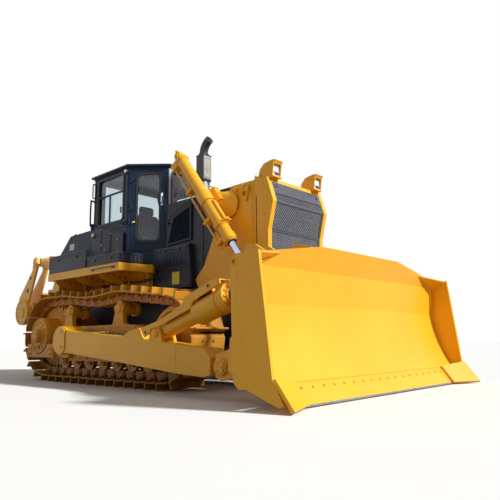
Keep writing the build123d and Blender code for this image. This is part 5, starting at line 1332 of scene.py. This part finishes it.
def makeRunningGear(g):
    caps, dark = newShapes(2)
    for sign in (-1, 1):
        side = handed(sign, sideView)
        hub = shifted(side, 0, g["axleZ"])
        ring(caps, hub, 0.276, 0.258, g["hubFace"] - 0.002, g["hubFace"] + 0.01, 48)
        ring(caps, hub, 0.15, 0.112, g["hubFace"] - 0.002, g["hubFace"] + 0.016, 40)
        lathe(caps, [(0, 1.478), (0.092, 1.478), (0.092, 1.486), (0.07, 1.492), (0, 1.492)], hub,
              36)
        boltRing(caps, hub, 6, 0.075, 1.487, 0.011)
        boltRow(caps, side, ((0.0, g["axleZ"] - 0.185),), g["hubFace"] + 0.004, 0.02)
        for face in (-1, 1):
            seat = handed(sign, Matrix.Translation((0, trackY + face * 0.052, g["axleZ"])))
            turned = seat @ Matrix.Rotation(-face * math.pi / 2, 4, "X")
            boltRing(caps, turned, g["toothBolts"], g["sprocketBoltR"], 0.0, 0.014, True)
            ring(caps, turned, 0.372, 0.352, 0.01, 0.018, 48)
        wheel = shifted(side, *g["idler"])
        lathe(caps, [(0, 1.205), (0.07, 1.205), (0.07, 1.213), (0.052, 1.222), (0, 1.222)], wheel,
              32)
        ring(caps, wheel, 0.11, 0.086, 1.186, 1.2, 36)
        boltRing(caps, wheel, 8, 0.098, 1.2, 0.009)
        face = g["frameFace"]
        boltRow(caps, side, g["boxBolts"], face, 0.015)
        # frame: recoil cover, and bolts along both edges
        prism(caps, roundRect(1.74, 2.46, 0.585, 0.775, 0.03), face, face + 0.01, side)
        boltRow(caps, side, [(x, z) for x in g["coverX"] for z in g["coverZ"]], face + 0.01, 0.011)
        along = [0.86 + g["edgeStep"] * k for k in range(g["edgeBolts"])]
        boltRow(caps, side, [(x, z) for x in along for z in (0.495, 0.375)], face, 0.013)
        boltRow(caps, side, [(x, 0.815) for x in along if not 1.0 < x < 1.5], face, 0.011)
        block(caps, (0.74, 0.445, face - 0.01), (2.46, 0.462, face + 0.012), side)
        # the frame's slot is a dark sheet: painted shade
        prism(dark, roundRect(0.8, 0.96, 0.66, 0.72, 0.03), face - 0.001, face + 0.0015, side)
        ring(caps, shifted(side, *g["trunnion"]), 0.19, 0.16, 1.262, 1.3, 40)
        # roller collars and their cap bolts
        for k in range(g["rollers"]):
            x = g["rollerX"] + g["rollerStep"] * k
            for hand, low, high in bothHands(trackY, 0.182, 0.198):
                disc(caps, 0.044, low, high, shifted(side, x, 0.328))
                for u, z, radius in g["rollerBolts"]:
                    bolt(caps, (x + u, sign * (trackY + hand * 0.182), z), (0, sign * hand, 0),
                         radius)
        for x, z in g["carriers"]:
            hubPlace = shifted(side, x, z)
            ring(caps, hubPlace, 0.104, 0.078, 1.222, 1.252, 32)
            lathe(caps, [(0, 1.262), (0.06, 1.262), (0.06, 1.276), (0.044, 1.282), (0, 1.282)],
                  hubPlace, 28)
            boltRing(caps, hubPlace, 5, 0.076, 1.264, 0.009)
            for hand, low, high in bothHands(x, 0.072, 0.112):
                block(caps, (low, z - 0.035, 1.188), (high, z + 0.035, 1.268), side)
                bolt(caps, (x + hand * 0.094, sign * 1.228, z + 0.035), (0, 0, 1), 0.013)
                bolt(caps, (x + hand * 0.1, sign * 1.24, 0.852), (0, 0, 1), 0.014)
            prism(caps, roundRect(x - 0.165, x + 0.14, 1.185, 1.268, 0.01), 0.848, 0.866,
                  handed(sign))
        # guard plate bolted inside the frame, beside the rollers
        prism(caps, roundRect(0.6, 2.64, 0.262, 0.56, 0.03), g["innerFace"], 0.8695, side)
        for k in range(g["innerBolts"]):
            bolt(caps, (0.72 + 0.3 * k, sign * g["innerFace"], 0.52), (0, -sign, 0), 0.013)
        # rear foot: two tie plates with studs
        for x in (-0.32, 0.38):
            prism(caps, roundRect(x - 0.045, x + 0.075, 0.4, 0.545, 0.01), 1.398, 1.408, side)
            boltRow(caps, side, ((x + 0.015, 0.43), (x + 0.015, 0.51)), 1.408, 0.017)
    finishPiece("runningGearCaps", caps, gearEnamel, 0.0015)
    finishPiece("frameSlots", dark, blackRubberAndPaintedShade, 0)


makeRunningGear(gear)

# Push arms: cut trunnion caps, stiffening strips, rings for the hoses, and the hoses themselves
arm = {"y": 1.56, "half": 0.14, "trunnion": (1.25, 0.64), "foot": (3.42, 0.71),
       "head": (4.92, 1.18), "ball": (4.57, 0.348), "capR": 0.192, "seam": (3.829, 3.837),
       "hoseIn": 0.05, "hoseRings": ((2.2, 0.722), (2.7, 0.688)),
       "hose": ((1.75, 0.758), (2.2, 0.722), (2.7, 0.688), (3.02, 0.672))}


def makePushArms(g):
    for side, sign in bothSides:
        metal, dark, hoses = newShapes(3)
        place = handed(sign, sideView)
        face = g["y"] + g["half"]
        cap = shifted(place, *g["trunnion"])
        # a round cap cut straight where the arm's side plate starts, with an oval and a slot
        arc = [math.radians(48 + 264 * k / 40) for k in range(41)]
        prism(metal, [(g["capR"] * math.cos(a), g["capR"] * math.sin(a)) for a in arc],
              face - 0.001, face + 0.016, cap)
        prism(metal, roundRect(0.02, 0.09, -0.112, -0.076, 0.017), face + 0.014, face + 0.022, cap)
        # the oval's inside and the slot are dark sheets: painted shade
        prism(dark, roundRect(0.034, 0.076, -0.102, -0.086, 0.007), face + 0.02, face + 0.0232, cap)
        prism(dark, roundRect(0.03, 0.052, 0.1, 0.15, 0.009), face + 0.015, face + 0.0172, cap)
        prism(dark, [(0.1385, -0.15), (0.1445, -0.15), (0.1445, 0.15), (0.1385, 0.15)], face,
              face + 0.0015, cap)
        for low, high, x0, x1 in ((0.452, 0.47, 1.62, 2.75), (0.728, 0.745, 1.62, 2.4)):
            block(metal, (x0, low, face - 0.001), (x1, high, face + 0.004), place)
        for hand, low, high in bothHands(g["y"], 0.112, 0.128):
            disc(metal, 0.055, low, high, shifted(place, *g["foot"]), 28)
        y = g["y"] - g["hoseIn"]
        for x, z in g["hoseRings"]:
            ring(metal, handed(sign, axisView((x, y, z), (x + 0.03, y, z - 0.002))), 0.034, 0.02,
                 -0.016, 0.016, 20)
        # a seam across the arm's side
        block(metal, (g["seam"][0], 0.262, face), (g["seam"][1], 0.578, face + 0.003), place)
        finishPiece("armPlates" + side.capitalize(), metal, yellowEnamel, 0.002, "push_arm_" + side)
        finishPiece("armSlots" + side.capitalize(), dark, blackRubberAndPaintedShade, 0, "push_arm_" + side)
        if side == "right":
            for shift in (0.0, 0.045):
                bentPipe(hoses, [(x, y + shift, z) for x, z in g["hose"]], 0.018, handed(sign))
            finishPiece("armHoses", hoses, blackRubberAndPaintedShade, 0, "push_arm_right")


makePushArms(arm)

# Tilt cylinder: gland rings, the guard's bolts, two pipes and the rod's seal
tilt = {"guardBolts": ((0.25, 0.116), (0.5, 0.135), (0.72, 0.208), (0.95, 0.217), (1.1, 0.223)),
        "seats": ((-0.14, 0.056), (1.045, 0.183)), "slope": (0.9543, 0.299), "cheek": 0.137,
        "pipes": ((0.015, 1.0), (0.062, 1.06))}


def makeTiltCylinder(g, t):
    metal, dark, hoses, wiper = newShapes(4)
    start = Vector((g["foot"][0], -g["y"], g["foot"][1]))
    end = Vector((g["head"][0], -g["y"], g["head"][1]))
    place = axisView(start, end)
    ring(metal, place, 0.15, 0.11, 1.06, 1.082, 40)
    ring(metal, place, 0.098, 0.056, 1.225, 1.25, 36)
    # guard: bolts on its top strip, and two large ones in oval seats on its outer cheek
    for s, rise in t["guardBolts"]:
        spot = place @ Vector((0.05, rise, s))
        bolt(metal, spot, place.to_3x3() @ Vector((0, 1, 0)), 0.013)
    face = g["y"] + t["cheek"]
    run, climb = t["slope"]
    for s, rise in t["seats"]:
        seat = shifted(handed(-1, sideView), g["foot"][0] + s * run - rise * climb,
                       g["foot"][1] + s * climb + rise * run)
        ring(metal, seat, 0.028, 0.02, face - 0.001, face + 0.006, 24)
        # dark disc in each seat: painted shade
        disc(dark, 0.02, face - 0.001, face + 0.002, seat, 20)
    finishPiece("tiltCylinderRings", metal, yellowEnamel, 0.002, "tilt_barrel")
    finishPiece("guardBoltSeats", dark, blackRubberAndPaintedShade, 0, "tilt_barrel")
    for u, s1 in t["pipes"]:
        line = [(u, 0.075, 0.6), (u, 0.16, 0.7), (u, 0.166, s1 - 0.14), (u, 0.15, s1 - 0.04),
                (u - 0.01, 0.13, s1)]
        bentPipe(hoses, line, 0.013, place)
    finishPiece("tiltCylinderPipes", hoses, blackPipe, 0, "tilt_barrel")
    ring(wiper, place, 0.072, 0.0555, 1.248, 1.262, 32)
    finishPiece("tiltRodSeal", wiper, blackRubberAndPaintedShade, 0.001, "tilt_barrel")


makeTiltCylinder(arm, tilt)

# Lift cylinders: tail lug, pipes' clamps and ends, yoke rims, ring clamp, stiffener and gland
lift = {"y": 0.85, "yoke": (3.4, 2.5), "eye": (4.719, 0.739), "tail": -0.845, "foot": 0.81,
        "r": 0.082, "rod": 0.045}


def makeLiftCylinders(g):
    for side, sign in bothSides:
        metal, seal = newShapes(2)
        place = handed(sign, axisView((g["yoke"][0], g["y"], g["yoke"][1]),
                                      (g["eye"][0], g["y"], g["eye"][1])))
        turned = place.to_3x3()
        r = g["r"]
        tail = g["tail"]
        ring(metal, place, r + 0.012, r - 0.004, tail - 0.002, tail + 0.05, 36)
        lathe(metal, [(0, tail - 0.055), (0.06, tail - 0.055), (0.07, tail - 0.01), (0, tail)],
              place, 32)
        # lug and fitting block on the tail, with two bolted rings
        across = shifted(place, 0, 0, tail - 0.06) @ Matrix.Rotation(math.pi / 2, 4, "Y")
        lathe(metal, [(0, -0.075), (0.034, -0.075), (0.034, -0.056), (0.06, -0.056), (0.06, 0.056),
                      (0.034, 0.056), (0.034, 0.075), (0, 0.075)], across, 28)
        for u in (-0.035, 0.035):
            for s in (tail, tail + 0.045):
                bolt(metal, place @ Vector((u, -0.19, s)), turned @ Vector((0, -1, 0)), 0.012)
            rod(metal, place @ Vector((u, 0.02, tail - 0.145)),
                place @ Vector((u, 0.02, tail - 0.1)), 0.022)
        # clamps over the two pipes, and the pipes' lower end
        for s in (-0.3, 0.3, g["foot"] - 0.12):
            block(metal, (-0.054, -0.206, s - 0.018), (0.054, -0.192, s + 0.018), place)
            bolt(metal, place @ Vector((0, -0.206, s)), turned @ Vector((0, -1, 0)), 0.012)
        for u, off in ((-0.024, r + 0.042), (0.024, r + 0.092)):
            low = [(u, -off, g["foot"] - 0.1), (u, -off, g["foot"] - 0.07),
                   (u, 0.016 - off, g["foot"] - 0.035), (u * 0.8, -0.07, g["foot"] - 0.035)]
            bentPipe(metal, low, 0.015, place)
        # yoke: two raised rims round its collar
        for s in (-0.085, 0.055):
            ring(metal, place, r + 0.0235, r + 0.01, s, s + 0.03, 36)
        # ring clamp with an ear, and the strip between it and the yoke
        ring(metal, place, r + 0.02, r - 0.002, 0.495, 0.55, 36)
        block(metal, (-0.022, r + 0.01, 0.5), (0.022, r + 0.066, 0.545), place)
        rod(metal, place @ Vector((-0.06, r + 0.042, 0.522)),
            place @ Vector((0.06, r + 0.042, 0.522)), 0.014)
        prism(metal, [(0.12, r - 0.006), (0.15, r + 0.03), (0.475, r + 0.03), (0.5, r - 0.006)],
              -0.026, 0.026, place @ stripView)
        for s in (0.18, 0.445):
            bolt(metal, place @ Vector((0, r + 0.03, s)), turned @ Vector((0, 1, 0)), 0.01)
        # gland nut
        ring(metal, place, r + 0.01, r - 0.006, g["foot"] - 0.105, g["foot"] - 0.012, 36)
        ring(metal, place, 0.074, g["rod"] + 0.001, g["foot"] - 0.004, g["foot"] + 0.012, 32)
        boltRing(metal, place, 8, 0.068, g["foot"] - 0.001, 0.007)
        finishPiece("liftFittings" + side.capitalize(), metal, yellowEnamel, 0.002,
                    "lift_barrel_" + side)
        ring(seal, place, 0.058, g["rod"] + 0.0006, g["foot"] + 0.01, g["foot"] + 0.02, 32)
        finishPiece("liftRodSeal" + side.capitalize(), seal, blackRubberAndPaintedShade, 0.001,
                    "lift_barrel_" + side)


makeLiftCylinders(lift)

# Blade: plow bolts on the edges and bits, pin caps, weld lines and seams at each corner
blade = {"half": 2.065, "top": (5.426, 0.224), "tip": (5.586, 0.017), "bit": 1.62,
         "corner": (5.766, 2.065, 0.01), "cornerTop": (5.558, 2.065, 0.271), "boltStep": 0.178,
         "bitBolts": ((0.16, 0.62), (0.42, 0.62), (0.68, 0.62), (0.16, 0.86), (0.42, 0.86)),
         "gusset": ((5.222, 1.5, 1.48), (5.4, 2.033, 1.412), (5.17, 2.033, 1.3)),
         "arc": ((5.215, 1.62, 1.42), (5.222, 1.74, 1.385), (5.222, 1.86, 1.33),
                 (5.205, 1.94, 1.25), (5.198, 1.965, 1.15), (5.19, 1.97, 1.05)),
         "weld": ((5.165, 1.36), (5.15, 0.96), (5.205, 0.62), (5.4, 0.25)),
         "edges": ((-1.617, -0.562), (-0.558, 0.558), (0.562, 1.617))}


def makeBlade(g):
    metal, dark, wear = newShapes(3)
    up = Vector((g["top"][0] - g["tip"][0], 0, g["top"][1] - g["tip"][1])).normalized()
    outward = Vector((0, 1, 0)).cross(up)
    reach = g["bit"] - 0.08
    count = int(2 * reach / g["boltStep"])
    for k in range(count + 1):
        y = -reach + 2 * reach * k / count
        spot = Vector((g["tip"][0], y, g["tip"][1])) + up * 0.195
        # a dark disc round each bolt's head: painted shade in its recess
        disc(dark, 0.015, -0.002, 0.0015, facing(spot, outward), 20)
        disc(metal, 0.01, -0.002, 0.003, facing(spot, outward), 4)
    rod(metal, (g["top"][0] + 0.001, -g["half"] + 0.04, g["top"][1] + 0.002),
        (g["top"][0] + 0.001, g["half"] - 0.04, g["top"][1] + 0.002), 0.006, 8)
    for sign in (-1, 1):
        a = Vector((g["tip"][0], sign * g["bit"], g["tip"][1]))
        b = Vector((g["corner"][0], sign * g["corner"][1], g["corner"][2]))
        d = Vector((g["top"][0] + 0.002, sign * g["bit"], g["top"][1]))
        c = Vector((g["cornerTop"][0], sign * g["cornerTop"][1], g["cornerTop"][2]))
        normal = (b - a).cross(d - a).normalized()
        if normal.x < 0:
            normal.negate()
        for s, t in g["bitBolts"]:
            low = a.lerp(b, s)
            spot = low.lerp(d.lerp(c, s), t) + normal * 0.001
            # a dark square round each bolt: painted shade in its hole
            block(dark, (-0.014, -0.014, -0.006), (0.014, 0.014, 0.002), facing(spot, normal))
            disc(metal, 0.009, 0, 0.005, facing(spot, normal), 16)
        # seams along the corner gusset and in an arc under it
        side = handed(sign, sideView)
        gusset = [handed(sign) @ Vector(p) for p in g["gusset"]]
        bentPipe(metal, g["arc"], 0.006, handed(sign), sides=8)
        for p, q in zip(gusset, gusset[1:]):
            rod(metal, p.lerp(q, 0.04), p.lerp(q, 0.96), 0.011, 8)
        # caps on the pins between the ears
        x, z = arm["ball"]
        for hand, low, high in bothHands(arm["y"], 0.168, 0.182):
            disc(metal, 0.07, low, high, shifted(side, x, z), 32)
            for a in (2 * math.pi * turn / 3 for turn in range(3)):
                spot = (x + 0.045 * math.cos(a), sign * (arm["y"] + hand * 0.182),
                        z + 0.045 * math.sin(a))
                bolt(metal, spot, (0, sign * hand, 0), 0.011)
        for radius, spot, y, near in ((0.062, arm["head"], arm["y"], 0.126),
                                      (0.066, lift["eye"], lift["y"], 0.166)):
            for hand, low, high in bothHands(y, near, near + 0.012):
                disc(metal, radius, low, high, shifted(side, *spot), 28)
        # weld line down the end plate where the moldboard meets it
        face = g["half"]
        bentPipe(metal, [(x, face + 0.0005, z) for x, z in g["weld"]], 0.004, handed(sign), sides=8)
        ring(metal, shifted(side, 5.112, 1.342), 0.04, 0.0302, face - 0.001, face + 0.004, 28)
    finishPiece("bladeFittings", metal, yellowEnamel, 0.001, "blade")
    finishPiece("bladeHoles", dark, blackRubberAndPaintedShade, 0, "blade")
    for y0, y1 in g["edges"]:
        prism(wear, [(g["tip"][0] - 0.0376, 0.0095), (g["tip"][0] - 0.008, 0.0095),
                     (g["tip"][0] + 0.0006, 0.0165), (g["tip"][0] - 0.0105, 0.032)], y0, y1,
              sideView)
    finishPiece("wornCuttingEdge", wear, bareEdge, 0, "blade")


makeBlade(blade)
print("gear and blade ready")

# Ripper: pin caps, mount bolts, cylinder fittings, shank pin, holes and tooth pin, hoses
ripper = {"y": 0.68, "arm": (-1.13, 1.06), "beam": (-1.93, 1.2), "front": (-0.72, 2.02),
          "rear": (-1.52, 2.16), "ramRear": (-1.5, 1.27), "ramFront": (-0.8, 1.8), "ramY": 0.42,
          "mastHoles": ((-1.79, 1.62, 0.045), (-1.7, 1.86, 0.036)), "mountBolts": 7,
          "mountX": -0.626, "mountY": (0.735, 0.51),
          "pocketBolts": ((-2.44, 1.04), (-2.16, 1.04), (-2.44, 1.42), (-2.16, 1.42)),
          "shankHoles": (1.58, 1.66)}


def pinCap(shape, place, spot, face, outward, radius, bolts=3):
    low, high = sorted((face, face + outward * 0.014))
    centre = shifted(place, *spot)
    disc(shape, radius, low, high, centre, 32)
    for k in range(bolts):
        a = 2 * math.pi * k / bolts + 0.5
        spot = Vector((radius * 0.6 * math.cos(a), radius * 0.6 * math.sin(a),
                       face + outward * 0.014))
        bolt(shape, centre @ spot, centre.to_3x3() @ Vector((0, 0, outward)), 0.011)


def makeRipper(g):
    fixed, beam, dark, hoses = newShapes(4)
    for sign in (-1, 1):
        place = handed(sign, sideView)
        for spot, radius in ((g["arm"], 0.085), (g["front"], 0.066)):
            pinCap(fixed, place, spot, g["y"] + 0.1, 1, radius)
            pinCap(fixed, place, spot, g["y"] - 0.11, -1, radius)
        for hand in (-1, 1):
            pinCap(fixed, place, g["ramFront"], g["ramY"] + hand * 0.1, hand, 0.052, 2)
        pinCap(beam, place, g["beam"], g["y"] + 0.158, 1, 0.11, 4)
        pivot = shifted(place, *g["beam"])
        ring(beam, pivot, 0.25, 0.225, g["y"] + 0.156, g["y"] + 0.164, 48)
        boltRing(beam, pivot, 8, 0.2, g["y"] + 0.158, 0.013)
        for low, high in ((0.122, 0.14), (-0.14, -0.122)):
            disc(beam, 0.072, g["y"] + low, g["y"] + high, shifted(place, *g["rear"]), 32)
        # lightening holes shown as dark discs of painted shade on the masts, and the mount plate's
        # bolts
        for u, v, r in g["mastHoles"]:
            disc(dark, r, g["y"] + 0.121, g["y"] + 0.1235, shifted(place, u, v), 28)
        for k in range(g["mountBolts"]):
            for y in g["mountY"]:
                bolt(fixed, (g["mountX"], sign * y, 0.86 + 0.185 * k), (-1, 0, 0), 0.018)
        for k, y in enumerate((0.24, 0.3)):
            route = [(-0.63, y, 1.96), (-0.69, y, 2.02), (-0.73, y + 0.1, 2.06),
                     (-0.7, 0.52 + 0.03 * k, 2.1), (-0.64, 0.56 + 0.03 * k, 2.04)]
            bentPipe(hoses, route, 0.016, handed(sign))
            for x, out, z in (route[0], route[-1]):
                rod(fixed, (-0.622, sign * out, z), (-0.665, sign * out, z), 0.023)
    # pocket: shank pin with keepers, side ribs and corner bolts
    rod(beam, (-2.3, -0.235, 1.25), (-2.3, 0.235, 1.25), 0.042, 28)
    for sign in (-1, 1):
        block(beam, (-2.36, sign * 0.212 - 0.01, 1.235), (-2.24, sign * 0.212 + 0.01, 1.265))
        for x in (-2.5, -2.08):
            block(beam, (x - 0.014, sign * 0.196 - 0.008, 0.98),
                  (x + 0.014, sign * 0.196 + 0.008, 1.48))
        side = handed(sign, sideView)
        boltRow(beam, side, g["pocketBolts"], 0.19, 0.016)
        # the shank's holes are dark discs: painted shade
        for z in g["shankHoles"]:
            disc(dark, 0.03, 0.05, 0.0515, shifted(side, -2.3, z))
        disc(beam, 0.016, 0.06, 0.068, shifted(side, -1.905, 0.315), 16)
        block(beam, (-2.47, 1.49, 0.053), (-2.13, 1.515, 0.075), side)
    finishPiece("ripperPinCaps", fixed, yellowEnamel, 0.0015)
    finishPiece("ripperBeamFittings", beam, yellowEnamel, 0.002, "ripper_beam")
    finishPiece("ripperHoles", dark, blackRubberAndPaintedShade, 0, "ripper_beam")
    finishPiece("ripperHoses", hoses, blackRubberAndPaintedShade, 0)
    # name, body, front and rear pivots, y, the barrel's end, and the barrel's and rod's radii
    rows = (("Pitch", "ripper_pitch_barrels", g["front"], g["rear"], g["y"], 0.609, 0.11, 0.05),
            ("Ram", "ripper_ram_barrels", g["ramFront"], g["ramRear"], g["ramY"], 0.597, 0.088,
             0.042))
    for name, body, front, rear, y, foot, r, rodR in rows:
        metal, seals = newShapes(2)
        for sign in (-1, 1):
            place = handed(sign, axisView((front[0], y, front[1]), (rear[0], y, rear[1])))
            start = 0.17 if name == "Pitch" else 0.13
            ring(metal, place, r + 0.008, r - 0.004, foot - 0.075, foot - 0.008, 36)
            ring(metal, place, r + 0.006, r - 0.004, start + 0.004, start + 0.032, 36)
            boltRing(metal, place, 8, r * 0.8, foot - 0.001, 0.01)
            ring(seals, place, rodR + 0.016, rodR + 0.0006, foot - 0.002, foot + 0.01, 28)
            # one pipe along the upper side between its two ports
            up = 1 if (place.to_3x3() @ Vector((0, 1, 0))).z > 0 else -1
            line = [(0, up * (r - 0.01), start + 0.05), (0, up * (r + 0.026), start + 0.075),
                    (0, up * (r + 0.028), foot - 0.13), (0, up * (r - 0.01), foot - 0.1)]
            bentPipe(metal, line, 0.012, place)
            for s in (start + 0.16, foot - 0.2):
                block(metal, (-0.022, up * (r + 0.012) - 0.018, s - 0.014),
                      (0.022, up * (r + 0.012) + 0.026, s + 0.014), place)
        finishPiece("ripper" + name + "Fittings", metal, yellowEnamel, 0.0015, body)
        finishPiece("ripper" + name + "Seals", seals, blackRubberAndPaintedShade, 0.001, body)


makeRipper(ripper)
print("ripper ready")

# Finishes of the model's own nodes, also of those that pieces above replace and hide
nodeFinish = (
    (yellowEnamel, "nose lamp_guards fenders lift_brackets lift_barrel_left lift_barrel_right"
     " push_arm_left push_arm_right tilt_barrel brace_left blade blade_ends blade_beams blade_ears"
     " cutting_edges ripper_frame ripper_arms ripper_beam ripper_masts ripper_shank"
     " ripper_pitch_barrels ripper_ram_barrels"),
    (gearEnamel, "track_frame_left track_frame_right sprockets final_drives idlers track_rollers"
     " carrier_rollers"),
    (charcoalEnamel, "hull hood deck side_boxes side_covers"),
    (navyEnamel, "fuel_tank cab_shell cab_roof grab_rails door_left door_right"),
    (linkEnamel, "track_left track_right"),
    (greyEnamel, "grille"),
    (hardChrome, "lift_rod_left lift_rod_right tilt_rod ripper_pitch_rods ripper_ram_rods"),
    (wornSteel, "trunnion_bushes ripper_pins ripper_bushes"),
    (castIron, "engine"),
    (aluminisedSteel, "exhaust"),
    (toughGlass, "cab_glass door_glass_left door_glass_right"),
    (lensWithPaintedReflection, "headlamps"),
    (blackRubberAndPaintedShade, "radiator"),
    (blackPlastic, "controls"),
    (polyesterCloth, "seat"),
)
painted = 0
for material, names in nodeFinish:
    for name in names.split():
        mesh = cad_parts[name].data
        mesh.materials.clear()
        mesh.materials.append(material)
        painted += 1
print("model nodes painted:", painted)

# Camera, fitted to the photograph: place from the axle, heading, climb and tilt
cameraView = {"x": 8.634, "y": -5.67, "z": 0.622, "heading": -3.9691, "climb": 0.1637,
              "tilt": -0.0113, "lens": 39.01, "sensor": 36.0}


def placeCamera(view):
    heading = view["heading"]
    climb = view["climb"]
    ahead = Vector((math.cos(climb) * math.cos(heading), math.cos(climb) * math.sin(heading),
                    math.sin(climb)))
    right = Vector((math.sin(heading), -math.cos(heading), 0))
    above = right.cross(ahead)
    tilted = right * math.cos(view["tilt"]) + above * math.sin(view["tilt"])
    above = above * math.cos(view["tilt"]) - right * math.sin(view["tilt"])
    data = bpy.data.cameras.new("photoCamera")
    data.sensor_fit = "HORIZONTAL"
    data.sensor_width = view["sensor"]
    data.lens = view["lens"]
    data.clip_end = 500
    camera = bpy.data.objects.new("photoCamera", data)
    turn = Matrix((tilted, above, -ahead)).transposed().to_4x4()
    camera.matrix_world = Matrix.Translation((view["x"] + axleShift, view["y"], view["z"])) @ turn
    bpy.context.scene.collection.objects.link(camera)
    bpy.context.scene.camera = camera


placeCamera(cameraView)

# Studio: pale floor, even world light, one large soft key from ahead and above
studio = {"floor": 160.0, "floorColour": "#F2F2F0", "bounceColour": "#9A9288", "world": 0.3,
          "key": 4.2, "keyAngle": 7.0, "keyFrom": (0.8, 0.26, 0.62), "fill": 0.06,
          "fillFrom": (-0.2, -0.9, 0.6)}


def addSun(name, strength, towards, angle):
    data = bpy.data.lights.new(name, "SUN")
    data.energy = strength
    data.angle = math.radians(angle)
    lamp = bpy.data.objects.new(name, data)
    lamp.rotation_euler = Vector(towards).to_track_quat("Z", "Y").to_euler()
    bpy.context.scene.collection.objects.link(lamp)


def seenDirectly(tree):
    path = addNode(tree, "LightPath").outputs
    seen = addNode(tree, "Math", {0: path["Is Camera Ray"], 1: path["Is Transmission Ray"]},
                   operation="MAXIMUM")
    return addNode(tree, "Math", {0: seen, 1: path["Is Glossy Ray"]}, operation="MAXIMUM")


def buildStudio(settings):
    # the floor is pale where it is seen, and throws less light up at the machine
    material, tree, point = startMaterial("studioFloor")
    colour = addNode(tree, "Mix", {0: seenDirectly(tree), 6: settings["bounceColour"],
                                   7: settings["floorColour"]}, data_type="RGBA")
    diffuse = addNode(tree, "BsdfDiffuse", {"Color": colour.outputs[2]})
    addNode(tree, "OutputMaterial", {"Surface": diffuse})
    half = settings["floor"] / 2
    mesh = bpy.data.meshes.new("studioFloor")
    mesh.from_pydata([(-half, -half, -0.001), (half, -half, -0.001), (half, half, -0.001),
                      (-half, half, -0.001)], [], [(0, 1, 2, 3)])
    floor = bpy.data.objects.new("studioFloor", mesh)
    mesh.materials.append(material)
    bpy.context.scene.collection.objects.link(floor)
    world = bpy.data.worlds.new("studioWorld")
    bpy.context.scene.world = world
    world.use_nodes = True
    tree = world.node_tree
    tree.nodes.clear()
    light = addNode(tree, "Background", {"Color": "#FFFFFF", "Strength": settings["world"]})
    backdrop = addNode(tree, "Background", {"Color": "#FFFFFF", "Strength": 1.0})
    mix = addNode(tree, "MixShader", {0: seenDirectly(tree), 1: light, 2: backdrop})
    addNode(tree, "OutputWorld", {"Surface": mix})
    addSun("softKey", settings["key"], settings["keyFrom"], settings["keyAngle"])
    addSun("softFill", settings["fill"], settings["fillFrom"], 60.0)
    bpy.context.scene.view_settings.view_transform = "Standard"


buildStudio(studio)
print("studio ready")
